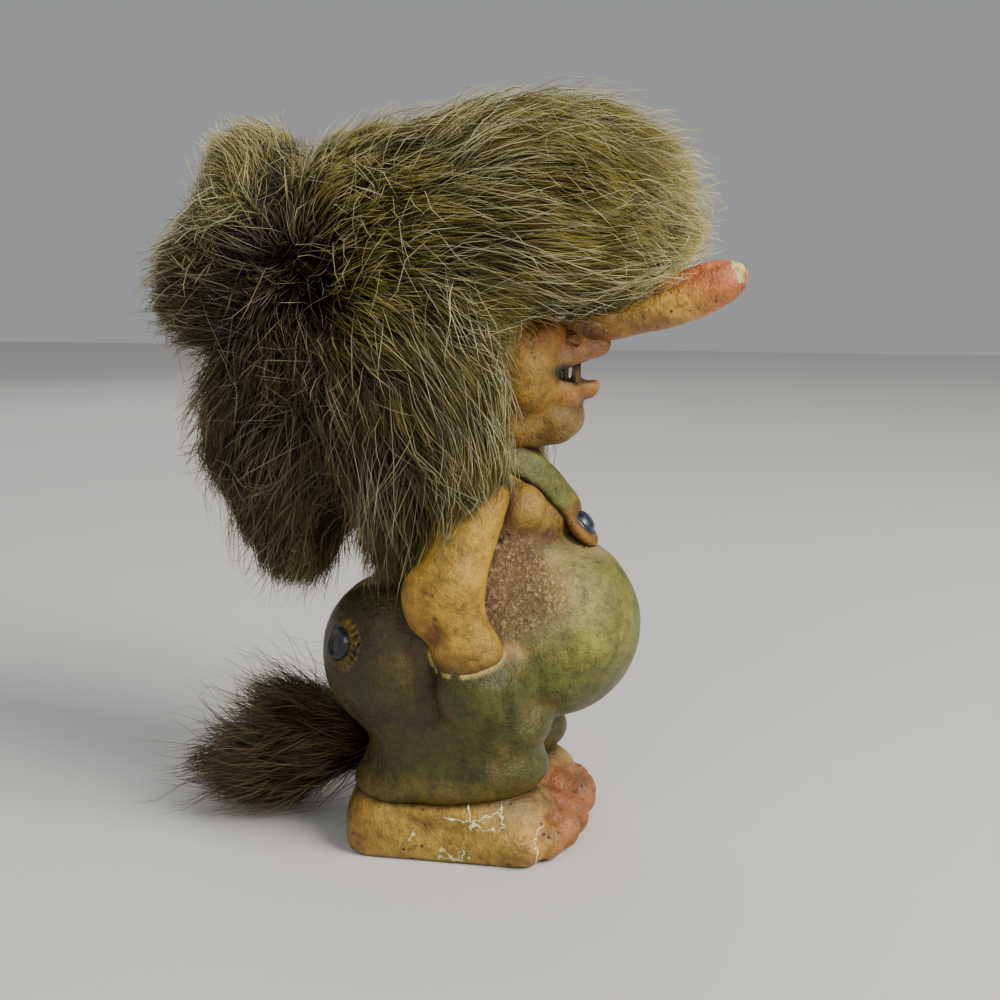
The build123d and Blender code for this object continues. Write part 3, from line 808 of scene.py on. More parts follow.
def addCasting(name, node, slot, skin, field, zones, base, mirror=False, patches=(), **numbers):
    # The zones' colours, mixed with brown painted shade by the power of the hollowness, then the patches by
    # their shares.
    # Without a field the normals are the mesh's own.
    points, quads = skin
    mesh = makeMesh(name, points, [quads])
    if field:
        normals = outward(field, points)
    else:
        normals = np.empty(len(points) * 3, np.float32)
        mesh.vertex_normals.foreach_get("vector", normals)
        normals = normals.reshape(-1, 3).astype(float)
    colours = brushZones(points, base, zones, mirror)
    # Painted shade: hollows, creases between parts and the skin near the floor turn brown
    paintedShade = hollowness(points, normals) ** hollowShade["power"] * hollowShade["strength"]
    for share, colour in [(paintedShade, shadeBrown), *patches]:
        colours += share[:, None] * (linear(colour) - colours)
    addPainted(name, node, slot, mesh, points, colours, **numbers)


def flankStipple(points):
    # Nearness to the rough flank's egg, the same on both sides
    mirrored = np.stack([-np.abs(points[:, 0]), points[:, 1], points[:, 2]], 1)
    return nearEgg(mirrored, (-20, 12, 57.5), (9.5, 13, 10.5), 0.35)


def makeBody():
    # Trousers and torso are two halves of one trunk
    skin = growSkin(trunkLumps, trouserField, quadSize["trunk"], pressBack(1))
    points = skin[0]
    lip = np.minimum(*[np.abs(limbField("arm", side)[1](points)) for side in (-1, 1)])
    pocket = (1 - ease(lip, 0.2, 1.3)) * ease(-points[:, 2], -47, -38)
    wear = 0.3 * nearEgg(points, (-15, 16, 29), (5, 5, 3)) + 0.8 * pocket
    # The pocket's edge is torn, and its cream rubber shows in a broken line along the arm
    torn = (1 - ease(lip, 0.3, 0.75)) * ease(lattice(points, 1.9, 41) + 0.35, 0, 0.3)
    torn *= ease(-points[:, 2], -45, -43) * ease(points[:, 2], 35, 37)
    ring = (1 - ease(buttonRing(points), 0.1, 1.0)) * ease(soleY - points[:, 1], -22, -18)
    halo = (1 - ease(buttonRing(points), 0.6, 5.0)) * 0.6
    patches = [(halo, marks["halo"]), (ring * 0.8, marks["ring"]), (torn * 0.85, marks["torn"])]
    addCasting("trousers", "trousers_casting", "painted_trousers", skin, trouserField,
               trouserZones + flankZones, patches=patches, wear=wear, stipple=flankStipple(points),
               **paint["trousers"])
    skin = growSkin(trunkLumps, torsoField, quadSize["trunk"], pressBack(-1))
    addCasting("torso", "torso_casting", "painted_skin", skin, torsoField, torsoZones,
               stipple=flankStipple(skin[0]), **paint["torso"])
    print("trunk made")


def makeLimbs():
    # Arms and feet; what is worn off a foot is the nearness to the eggs of its wear
    for side, word in ((-1, "right"), (1, "left")):
        lumps, field = limbField("arm", side)
        skin = growSkin(lumps, field, quadSize["arm"])
        addCasting(word + "Arm", word + "_arm", "painted_skin", skin, field, armZones, mirror=side > 0,
                   **paint["arm"])
        lumps, field = limbField("foot", side)
        skin = growSkin(lumps, field, quadSize["foot"])
        right = skin[0] * np.array([-side, 1.0, 1.0])
        chips = sum(nearEgg(right, centre, radii, 0.6) for centre, radii in footWear)
        addCasting(word + "Foot", word + "_foot", "painted_feet", skin, field, footZones, mirror=side > 0,
                   wear=0.3 + 0.5 * np.clip(chips, 0, 1), **paint["foot"])
    print("limbs made")


def makeHead():
    # The head's lumps as one skin
    skin = growSkin(headLumps, headField, quadSize["head"])
    addCasting("head", "head_casting", "painted_skin", skin, headField, headZones, **paint["head"])
    print("head made")


# Nose: a club along a rising line. Rows: forward, height, half height, half width
nose = {
    "rows": [(17.0, 104.8, 3.0, 3.4), (21.0, 106.4, 4.3, 4.6), (27.0, 108.0, 4.5, 4.5),
             (34.0, 109.6, 4.5, 4.4), (42.0, 111.9, 4.9, 4.7), (49.0, 114.6, 4.9, 4.8),
             (53.4, 116.5, 4.1, 4.2), (56.0, 117.7, 2.4, 2.6), (57.0, 118.1, 0.5, 0.5)],
    "rings": 150, "columns": 96,
    "base": (214, 162, 96), "grooveShadeColour": (82, 54, 26), "rubberColour": (234, 226, 170),
    "grooveTurn": 0.62, "grooveDepth": 0.11,     # the crease along the lower third of each side
    "zones": [
        ((0, 24, 112), (8, 14, 5), (212, 176, 104), 0.9, 0.5),
        ((0, 36, 112), (8, 11, 6), (226, 182, 116), 0.85, 0.6),
        # Painted shade under the nose's middle
        ((0, 40, 105), (8, 18, 4), (150, 96, 50), 0.6, 0.6),
        ((0, 53, 119), (8, 12, 6), (218, 128, 112), 0.95, 0.5),
        # Painted shade under the nose's tip
        ((0, 55, 112), (8, 9, 4), (160, 72, 52), 0.7, 0.5),
        # Painted shade under the nose's root
        ((0, 24, 105.5), (8, 6, 3.0), (84, 52, 26), 0.9, 0.5),
    ],
}


def spline(rows, count):
    # Catmull-Rom curve through rows of numbers, sampled evenly in its parameter
    rows = np.asarray(rows, float)
    t = np.linspace(0, len(rows) - 1.0001, count)
    i = t.astype(int)
    f = (t - i)[:, None]
    last = len(rows) - 1
    p0, p1, p2, p3 = (rows[np.clip(i + k, 0, last)] for k in (-1, 0, 1, 2))
    return 0.5 * (2 * p1 + (p2 - p0) * f + (2 * p0 - 5 * p1 + 4 * p2 - p3) * f ** 2
                  + (3 * p1 - p0 - 3 * p2 + p3) * f ** 3)


def makeNose():
    # Rings stand square to the line; their radius dips along a groove low on both sides
    rows = spline(nose["rows"], nose["rings"])
    centres = np.stack([np.zeros(len(rows)), soleY - rows[:, 0], rows[:, 1]], 1)
    tangent = np.gradient(centres, axis=0)
    tangent /= np.sqrt((tangent ** 2).sum(1))[:, None]
    side = np.tile([1.0, 0, 0], (len(rows), 1))
    up = np.cross(side, tangent)
    angle = circle(nose["columns"])
    along = np.linspace(0, 1, len(rows))[:, None]
    low = np.minimum(np.abs(angle + nose["grooveTurn"]), np.abs(angle - 2 * np.pi + nose["grooveTurn"]))
    high = np.abs(angle - np.pi - nose["grooveTurn"])
    groove = np.exp(-(np.minimum(low, high)[None, :] / 0.2) ** 2) * ease(0.78 - along, 0, 0.4)
    radius = 1 - nose["grooveDepth"] * groove
    rings = (centres[:, None] + (radius * np.cos(angle) * rows[:, 3:4])[..., None] * side[:, None]
             + (radius * np.sin(angle) * rows[:, 2:3])[..., None] * up[:, None])
    flat = rings.reshape(-1, 3)
    away = flat - np.repeat(centres, nose["columns"], 0)
    away /= np.sqrt((away ** 2).sum(1))[:, None] + 1e-9
    flat = flat + away * handWork(flat, *modelling["nose"])[:, None]
    points, quads, triangles = ringsToMesh(flat.reshape(rings.shape))
    mesh = makeMesh("nose", points, [quads, triangles])
    colours = brushZones(points, nose["base"], nose["zones"])
    # Painted shade along the groove: brown that deepens with the groove
    shade = np.concatenate([groove.ravel(), [0, 0]]) * 0.75
    colours += shade[:, None] * (linear(nose["grooveShadeColour"]) - colours)
    # Lost paint at the tip shows the cream rubber
    rag = lattice(points, 1.6, 31) * 0.5 + lattice(points, 0.7, 32) * 0.35
    chip = nearEgg(points, (-1.6, 55.0, 119.4), (2.2, 1.3, 3.4), 0.6)
    chip += 0.6 * nearEgg(points, (-2.8, 56.2, 116.8), (1.8, 1.2, 2.2), 0.6)
    chip = ease(chip + rag * 1.1, 0.55, 0.7)
    colours += chip[:, None] * (linear(nose["rubberColour"]) - colours)
    addPainted("nose", "nose", "painted_skin", mesh, points, colours, gloss=0.8, speckle=1.0)
    print("nose made")


# Strap, buttons, teeth and eyes

strap = {
    "path": [(0, 25, 66.6), (-2.6, 22, 71.0), (-5.6, 18.5, 76), (-8.6, 12, 80), (-10.5, 5, 81.5),
             (-10.5, -2, 79), (-9, -8, 74)],
    "halfWidth": 3.3, "halfThickness": 1.15, "proud": 0.35, "rings": 70, "columns": 36,
    "tab": (0, 25, 66.6), "tabFacing": (0, -0.766, 0.643),
    "tabProfile": [(0.02, -2.4), (3.5, -2.4), (5.1, -1.7), (5.5, -0.9), (5.2, -0.1), (4.2, 0.3),
                   (0.02, 0.35)],
    "zones": [((0, 25, 66.6), (7.2, 6.5, 6.5), (132, 92, 40), 0.95, 0.25),
              ((0, 20, 74), (6, 6, 3.5), (132, 130, 62), 0.4, 0.6)],
}


def turned(profile, centre, facing, columns=64, rows=48):
    # A profile of radius and height carried round an axis that stands on a place
    facing = np.asarray(facing, float)
    facing /= np.sqrt(facing @ facing)
    u = np.cross(facing, [0, 0, 1.0])
    u /= np.sqrt(u @ u)
    v = np.cross(facing, u)
    line = spline(profile, rows)
    angle = circle(columns)
    ring = np.cos(angle)[:, None] * u + np.sin(angle)[:, None] * v
    radius, height = np.maximum(line[:, 0], 0.01)[:, None, None], line[:, 1][:, None, None]
    return ringsToMesh(centre + radius * ring[None] + height * facing)


def squared(wave, power):
    # A sine or cosine whose size is raised to a power below one, which squares a circle's corners
    return np.sign(wave) * np.abs(wave) ** power


def makeStrap():
    # A flat rounded band on the trunk's surface, fused with the round tab it ends in
    line = spline(strap["path"], strap["rings"])
    line = np.stack([line[:, 0], soleY - line[:, 1], line[:, 2]], 1)
    line = settle(trunkField, line, 5)
    normal = outward(trunkField, line)
    for _ in range(6):
        line[1:-1] = (line[:-2] + 2 * line[1:-1] + line[2:]) / 4
        normal[1:-1] = (normal[:-2] + 2 * normal[1:-1] + normal[2:]) / 4
    line = line + normal * strap["proud"]
    tangent = np.gradient(line, axis=0)
    tangent /= np.sqrt((tangent ** 2).sum(1))[:, None]
    across = np.cross(tangent, normal)
    across /= np.sqrt((across ** 2).sum(1))[:, None]
    angle = circle(strap["columns"])
    wide = squared(np.cos(angle), 0.55) * strap["halfWidth"]
    thick = squared(np.sin(angle), 0.7) * strap["halfThickness"]
    rings = line[:, None] + wide[None, :, None] * across[:, None] + thick[None, :, None] * normal[:, None]
    band = ringsToMesh(rings)
    tab = turned(strap["tabProfile"], spot(*strap["tab"]), strap["tabFacing"])
    points, quads = fusedShell([band, tab], quadSize["strap"])
    for _ in range(3):
        points = smoothed(points, quads)
    addCasting("strap", "shoulder_strap", "painted_trousers", (points, quads), None, strap["zones"],
               **paint["strap"])
    print("strap made")


def smoothed(points, quads):
    # Each point moves halfway to the mean of its neighbours
    total = np.zeros_like(points)
    count = np.zeros(len(points))
    for k in range(4):
        np.add.at(total, quads[:, k], points[quads[:, (k + 1) % 4]] + points[quads[:, k - 1]])
        np.add.at(count, quads[:, k], 2)
    return (points + total / count[:, None]) / 2


bibButton = {
    "centre": (0, 25, 66.6), "facing": (0, -0.766, 0.643),
    "profile": [(0.02, -1.2), (2.8, -1.2), (3.4, -0.9), (3.6, -0.1), (3.4, 0.5), (2.95, 0.7), (2.7, 0.8),
                (2.4, 1.15), (1.8, 1.6), (1.0, 1.85), (0.02, 1.9)],
}
seatButton = {
    "centre": (22.0, -20.6, 44.1), "facing": (0.68, 0.69, 0.242),
    "profile": [(0.02, -1.3), (2.6, -1.3), (3.2, -0.8), (3.3, 0.5), (3.15, 1.05), (2.8, 1.25), (2.4, 1.05),
                (2.0, 0.8), (1.0, 0.9), (0.02, 0.95)],
    "rimRadius": 4.2, "rimThickness": 0.75, "rimSunk": 0.35, "rimMelt": 1.2,
}
tooth = {"centre": (6.0, 22.4, 99.0), "half": (1.15, 1.15, 2.3), "rings": 24, "columns": 32}
eyeBall = {"side": 6.6, "height": 111.0}
# Dark and light tone, size of the mottling in mm, roughness, depth of the bump in mm
trimPaint = {
    "buttonLacquer": ((10, 14, 24), (40, 48, 68), 1.6, 0.3, 0.06),
    "seatLacquer": ((8, 11, 10), (24, 32, 30), 1.4, 0.32, 0.06),
    "toothPaint": ((112, 106, 80), (164, 156, 120), 1.2, 0.4, 0.05),
    "foam": ((176, 150, 96), (208, 184, 130), 1.2, 0.9, 0.3),
}


def makeTrim():
    # Buttons are turned profiles, teeth are squared ovals, and eyes, root and foam stay CAD nodes
    lacquer, dark, enamel = (plainPaint(name, *trimPaint[name])
                             for name in ("buttonLacquer", "seatLacquer", "toothPaint"))
    points, *faces = turned(bibButton["profile"], spot(*bibButton["centre"]), bibButton["facing"])
    addPiece("bibButton", makeMesh("bibButton", points, faces), lacquer, "figure", ["bib_button"])
    for side, word in ((-1, "right"), (1, "left")):
        flip = np.array([side, 1.0, 1.0])
        centre = spot(*seatButton["centre"]) * flip
        facing = np.array(seatButton["facing"]) * flip
        points, *faces = turned(seatButton["profile"], centre, facing, 48, 40)
        addPiece(word + "SeatButton", makeMesh("seatButton", points, faces), dark, "figure",
                 [word + "_seat_button"])
        # Tooth: rings of a squared oval that narrow downwards
        t = np.linspace(-1, 1, tooth["rings"])
        wide = (1 - np.abs(t) ** 5) ** 0.4 * (0.86 + 0.14 * t)
        angle = circle(tooth["columns"])
        half = tooth["half"]
        rings = np.stack([half[0] * wide[:, None] * squared(np.cos(angle), 0.7),
                          half[1] * wide[:, None] * squared(np.sin(angle), 0.7),
                          np.repeat(half[2] * t[:, None], tooth["columns"], 1)], -1)
        points, *faces = ringsToMesh(rings + spot(*tooth["centre"]) * flip)
        addPiece(word + "Tooth", makeMesh("tooth", points, faces), enamel, "figure",
                 [word + "_tooth"])
    glass = eyeGlass()
    weave = wovenBacking()
    for name in ("right_eye", "left_eye"):
        setMaterial(frame["nodes"][name], glass)
    setMaterial(frame["nodes"]["tail_root"], weave)
    setMaterial(frame["nodes"]["foam_core"], plainPaint("foam", *trimPaint["foam"]))
    print("trim made")


def setMaterial(thing, material):
    # A CAD node that stays visible gets the material in every slot
    for holder in thing.material_slots:
        holder.material = material
    if not thing.material_slots:
        thing.data.materials.append(material)


# Fur. A pelt carries the roots; guides, read for the right side and mirrored, say which way the pile
# runs there. Rows: side, forward, height, direction of the pile at the root, and at its tip.
pelt = {
    "lumps": [
        egg((0, 7, 124), (27.5, 27, 21.5), melt=6.0),
        egg((0, -36, 120.5), (21.5, 19, 19.5), melt=4.0),
        egg((0, -27, 89), (21.5, 18.5, 24), melt=6.0),
        *eggs((19.0, -5, 100), (10.0, 14.5, 24), melt=5.0),
        egg((0, 29, 101), (40, 19, 11.5), melt=3.0, cut=True),
    ],
    # What the pile fills when it lies: strands that reach out of it are drawn back
    "hull": [
        egg((0, 17, 129.5), (31.5, 32, 21.5)), egg((0, -11, 124.5), (32.5, 24, 22), melt=3.0),
        egg((0, -44, 126.5), (16, 11.5, 19.5), melt=2.0), egg((0, -42, 119), (25, 18, 16), melt=3.0),
        egg((0, -46, 113), (22, 19.5, 12), melt=3.0), egg((0, -30, 104), (28, 20, 27), melt=3.0),
        egg((0, -37, 85), (25, 20, 17.5), melt=2.0), egg((0, -39, 67), (15, 9.5, 17.5), melt=1.5),
        *eggs((22, -6, 103), (12.5, 18, 29), melt=3.0),
        *eggs((21.5, 1.5, 88), (10.5, 12.0, 16), melt=2.0), *eggs((21, -6.5, 76), (9.5, 8.0, 22), melt=1.5),
    ],
    # Kept free before the face
    "windows": [lump((0, 50, 103), (0, 50, 80), r=1.0, squeeze=(80, 38, 6)),
                lump((0, 30.5, 106), (0, 53, 116), r=7.2, squeeze=(10, 1, 1))],
    # How firmly the hull draws back, and how far out of it and to the side a strand may reach
    "hold": 0.8, "farthest": 6.5, "widest": 41,
    "quads": 1.2, "under": ("undercoat", (14, 10, 6), (40, 32, 18)),
}
guides = np.array([
    # top of the crown, swept forward
    (-4, -18, 137, 0.0, 0.4, 0.9, 0.0, 0.95, 0.35),
    (-4, -6, 139, 0.0, 0.8, 0.6, 0.0, 1.0, 0.15),
    (-6, 8, 139, 0.0, 0.9, 0.45, 0.0, 1.0, 0.0),
    (-5, 20, 134, 0.0, 0.95, 0.3, 0.0, 1.0, -0.2),
    (-6, 27, 124, 0.0, 1.0, 0.1, 0.0, 0.95, -0.35),
    (-16, 0, 134, -0.2, 0.9, 0.35, -0.1, 1.0, 0.0),
    (-16, 14, 132, -0.2, 0.95, 0.2, -0.05, 1.0, -0.15),
    (-16, 22, 122, -0.2, 1.0, 0.0, 0.0, 1.0, -0.3),
    (-6, 26, 114, 0.0, 0.9, -0.6, 0.0, 0.85, -0.5),
    (-14, 20, 112, -0.1, 0.8, -0.7, 0.0, 0.9, -0.4),
    (-23, 2, 122, -0.3, 0.95, 0.1, -0.1, 1.0, -0.2),
    (-22, 14, 116, -0.2, 1.0, -0.1, 0.0, 0.95, -0.4),
    (-20, -12, 130, -0.3, 0.7, 0.5, -0.2, 1.0, 0.1),
    # temple and cheek
    (-27, -4, 112, -0.3, 0.9, -0.25, -0.1, 0.85, -0.5),
    (-27, 8, 107, -0.2, 0.8, -0.5, 0.0, 0.7, -0.7),
    (-22, 12, 98, -0.2, 0.55, -0.8, 0.05, 0.5, -0.9),
    (-29, 2, 98, -0.3, 0.4, -0.9, -0.1, 0.35, -1.0),
    (-22, 12, 86, -0.2, 0.4, -0.9, 0.1, 0.35, -1.0),
    (-29, -4, 88, -0.3, 0.1, -1.0, -0.1, 0.1, -1.0),
    (-24, 4, 80, -0.2, 0.15, -1.0, 0.0, 0.1, -1.0),
    (-26, -14, 92, -0.3, -0.05, -1.0, -0.1, -0.1, -1.0),
    (-26, -10, 78, -0.2, -0.1, -1.0, 0.0, -0.1, -1.0),
    # whorl behind the ear, from which the pile runs apart
    (-24, -22, 110, -0.6, 0.75, -0.4, -0.3, 0.85, -0.5),
    (-25, -22, 118, -0.6, 0.8, 0.1, -0.3, 0.95, 0.1),
    (-22, -24, 126, -0.5, 0.65, 0.6, -0.3, 0.8, 0.6),
    (-22, -33, 126, -0.5, -0.6, 0.7, -0.3, -0.7, 0.8),
    (-22, -36, 117, -0.5, -0.95, 0.2, -0.3, -1.0, 0.2),
    (-22, -36, 108, -0.5, -0.85, -0.35, -0.3, -0.9, -0.4),
    (-24, -28, 102, -0.5, -0.1, -0.9, -0.3, -0.2, -1.0),
    # tuft behind
    (-4, -28, 137, 0.0, -0.1, 1.0, 0.0, -0.25, 1.0),
    (-4, -42, 134, 0.0, -0.5, 0.85, 0.0, -0.6, 0.85),
    (-14, -36, 134, -0.3, -0.4, 0.9, -0.2, -0.45, 0.9),
    (-14, -46, 127, -0.3, -0.75, 0.6, -0.2, -0.8, 0.6),
    (-3, -52, 122, 0.0, -0.95, 0.3, 0.0, -1.0, 0.2),
    (-14, -48, 116, -0.3, -0.95, 0.1, -0.2, -1.0, 0.05),
    (-3, -50, 110, 0.0, -1.0, -0.2, 0.0, -0.9, -0.3),
    (-14, -44, 106, -0.3, -0.9, -0.35, -0.2, -0.8, -0.55),
    # nape
    (-3, -46, 98, 0.0, -0.8, -0.6, 0.0, -0.6, -0.85),
    (-14, -42, 94, -0.3, -0.65, -0.75, -0.2, -0.5, -0.9),
    (-3, -44, 86, 0.0, -0.6, -0.8, 0.0, -0.4, -0.95),
    (-16, -38, 82, -0.3, -0.4, -0.9, -0.1, -0.3, -1.0),
    (-3, -38, 74, 0.0, -0.3, -0.95, 0.0, -0.2, -1.0),
    (-14, -32, 70, -0.2, -0.15, -1.0, -0.1, -0.1, -1.0),
    (-20, -24, 80, -0.3, -0.1, -1.0, -0.1, -0.1, -1.0),
    (-8, -18, 68, 0.0, -0.1, -1.0, 0.0, 0.0, -1.0),
])
wigFur = {
    "strands": 60000, "rings": 5, "length": (17.0, 31.0), "width": 0.095, "lift": 0.7, "reach": 7.0,
    "clump": 2.2, "clumpPull": 0.45, "tuft": 5.4, "tuftPull": 0.4, "strays": 0.1,
    "curl": 0.42, "tangle": 0.46, "frizz": 0.32, "ragged": 3.2, "bundle": 8800,
    # Where the pile is in disorder: centre, radii, how much more it tangles
    "unrest": [*both(((-24, -30, 112), (16, 20, 22), 1.5)), ((0, -34, 78), (34, 26, 26), 0.7)],
    "look": {"stops": [(0.0, (12, 8, 4)), (0.25, (30, 23, 9)), (0.55, (86, 72, 22)), (0.85, (130, 115, 40)),
                       (1.0, (148, 134, 54))],
             "pale": (220, 213, 170), "shine": 0.4},
    # Painted light and shade on the pile, where it is lit or shaded: centre, radii, strength; above one
    # lighter, below one darker
    "dusk": [((0, 43, 132), (40, 16, 22), 2.1), ((0, -50, 139), (30, 14, 15), 2.5),
             *both(((-27, -38, 110), (16, 15, 16), 0.26)), *both(((-20, -28, 86), (22, 30, 22), 0.4)),
             *both(((-26, 12, 92), (12, 10, 16), 1.1))],
}
tailFur = {
    "strands": 8600, "rings": 5, "length": (8.0, 29.0), "width": 0.08, "lift": 0.62, "reach": 8.0,
    "clump": 2.6, "clumpPull": 0.6, "tuft": 6.0, "tuftPull": 0.3, "strays": 0.12,
    "curl": 0.5, "tangle": 0.6, "frizz": 0.36, "ragged": 2.0, "unrest": [],
    "lumps": [lump((0, -22, 16.5), (0, -36, 13), r=4.6, end=5.2),
              lump((0, -36, 13), (0, -49, 10.5), r=4.8, end=2.2, melt=2.0)],
    "dusk": [], "quads": 0.9, "under": ("tailUndercoat", (10, 7, 4), (30, 22, 14)),
    "look": {"stops": [(0.0, (12, 8, 4)), (0.35, (32, 22, 9)), (0.75, (64, 48, 20)), (1.0, (98, 80, 38))],
             "pale": (130, 112, 70), "shine": 0.35},
}
tailGuides = np.array([
    (0, -24, 22, 0.0, -0.4, 0.9, 0.0, -0.8, 0.4),
    (0, -34, 19, 0.0, -0.6, 0.7, 0.0, -0.9, 0.1),
    (0, -46, 14, 0.0, -0.9, 0.3, 0.0, -1.0, 0.05),
    (0, -50, 11, 0.0, -1.0, 0.1, 0.0, -1.0, 0.0),
    (0, -28, 9, 0.0, -0.6, -0.6, 0.0, -0.9, -0.2),
    (0, -42, 5, 0.0, -0.9, -0.2, 0.0, -1.0, 0.0),
    (-6, -30, 15, -0.8, -0.5, 0.2, -0.5, -0.9, -0.1),
    (-6, -42, 11, -0.7, -0.7, 0.0, -0.4, -0.95, -0.1),
])


def scatterRoots(points, quads, count, rng):
    # Even random places on a skin of quads: each quad is as likely as its area
    a, b, c, d = (points[quads[:, k]] for k in range(4))
    area = np.sqrt((np.cross(c - a, d - b) ** 2).sum(1))
    chosen = rng.choice(len(quads), count, p=area / area.sum())
    s, t = rng.random(count)[:, None], rng.random(count)[:, None]
    return (a[chosen] * (1 - s) + b[chosen] * s) * (1 - t) + (d[chosen] * (1 - s) + c[chosen] * s) * t


def guidedFlow(roots, table, reach):
    # Mean of the guides, each weighted by a bell curve of its distance; the left side is mirrored
    flip = np.where(roots[:, 0] > 0, -1.0, 1.0)
    here = turnedOver(roots, flip)
    places = np.stack([table[:, 0], soleY - table[:, 1], table[:, 2]], 1)
    far = ((here[:, None] - places[None]) ** 2).sum(2)
    weight = np.exp(-far / (2 * reach ** 2)) + 1e-9 / (far + 1)
    weight /= weight.sum(1)[:, None]
    flows = []
    for first in (3, 6):
        d = weight @ table[:, first:first + 3]
        d = np.stack([d[:, 0] * flip, -d[:, 1], d[:, 2]], 1)
        flows.append(unit(d))
    return flows


def wander(points, size, seed):
    # Three value noises side by side
    return np.stack([lattice(points, size, seed + k) for k in range(3)], 1)


def gatherClumps(curves, size, pull, rng, shift):
    # Strands whose roots share a cell are drawn towards the cell's mean strand, more at the tips
    cell = np.floor((curves[0] + shift) / size + 0.35 * wander(curves[0], size * 1.7, 60)).astype(np.int64)
    key = (cell[:, 0] * 92821 + cell[:, 1]) * 68917 + cell[:, 2]
    _, index = np.unique(key, return_inverse=True)
    count = np.bincount(index).astype(float)
    strength = (rng.random(len(count)) * 0.7 + 0.5)[index] * pull
    rings = len(curves)
    for ring in range(1, rings):
        mean = np.stack([np.bincount(index, curves[ring][:, k]) / count for k in range(3)], 1)[index]
        share = (strength * (ring / (rings - 1)) ** 1.4)[:, None]
        curves[ring] = curves[ring] + share * (mean - curves[ring])
    return curves


def growFur(roots, normals, flows, avoid, look, rng, hull=None, hold=0.0):
    # Each strand leaves along the pile and the normal, and lies down into the pile's tip direction;
    # slow noise makes waves, fast noise makes it frizzy
    n, rings = len(roots), look["rings"]
    stray = rng.random(n) < look["strays"]
    low, high = look["length"]
    length = rng.uniform(low, high, n) * np.where(stray, 1.12, 1.0) * (1 + 0.15 * lattice(roots, 9.0, 40))
    frizz = unit(rng.normal(size=(n, 3)))
    lift = look["lift"] * (0.75 + 0.5 * rng.random(n)) + np.where(stray, 0.35, 0.0)
    slack = rng.exponential(1.3, n) + np.where(stray, 3.5, 0.0)
    bumps = 0.7 * lattice(roots, 4.2, 44) + 0.5 * lattice(roots, 9.0, 46)
    slack += look["ragged"] * np.maximum(bumps, -0.5)
    unrest = np.ones(n)
    for centre, radii, more in look["unrest"]:
        unrest += more * nearEgg(roots, centre, radii, 0.6)
    here = roots - normals * 1.2
    curves = [here]
    for ring in range(1, rings):
        t = ring / (rings - 1)
        way = flows[0] * (1 - t) + flows[1] * t + normals * (lift * (1 - t) ** 1.2)[:, None]
        way = way + wander(here, 11.0, 50) * look["curl"]
        way = way + wander(curves[0], 3.2, 80) * (look["tangle"] * unrest)[:, None]
        way = way + frizz * (look["frizz"] * unrest + 0.25 * stray)[:, None] + wander(here, 3.6, 90) * 0.18
        here = here + unit(way) * (length / (rings - 1))[:, None]
        if hull:
            over = np.maximum(0, melted(here, hull) + 1.2 - slack * t)
            here = here - outward(lambda p: melted(p, hull), here) * (over * hold)[:, None]
        push = np.maximum(0, 0.9 + 0.8 * t - avoid(here))
        here = here + outward(avoid, here) * push[:, None]
        curves.append(here)
    loose = [c.copy() for c in curves]
    curves = gatherClumps(curves, look["clump"], look["clumpPull"], rng, 0.0)
    curves = gatherClumps(curves, look["tuft"], look["tuftPull"], rng, 3.1)
    return [np.where(stray[:, None], a, b) for a, b in zip(loose, curves)], stray


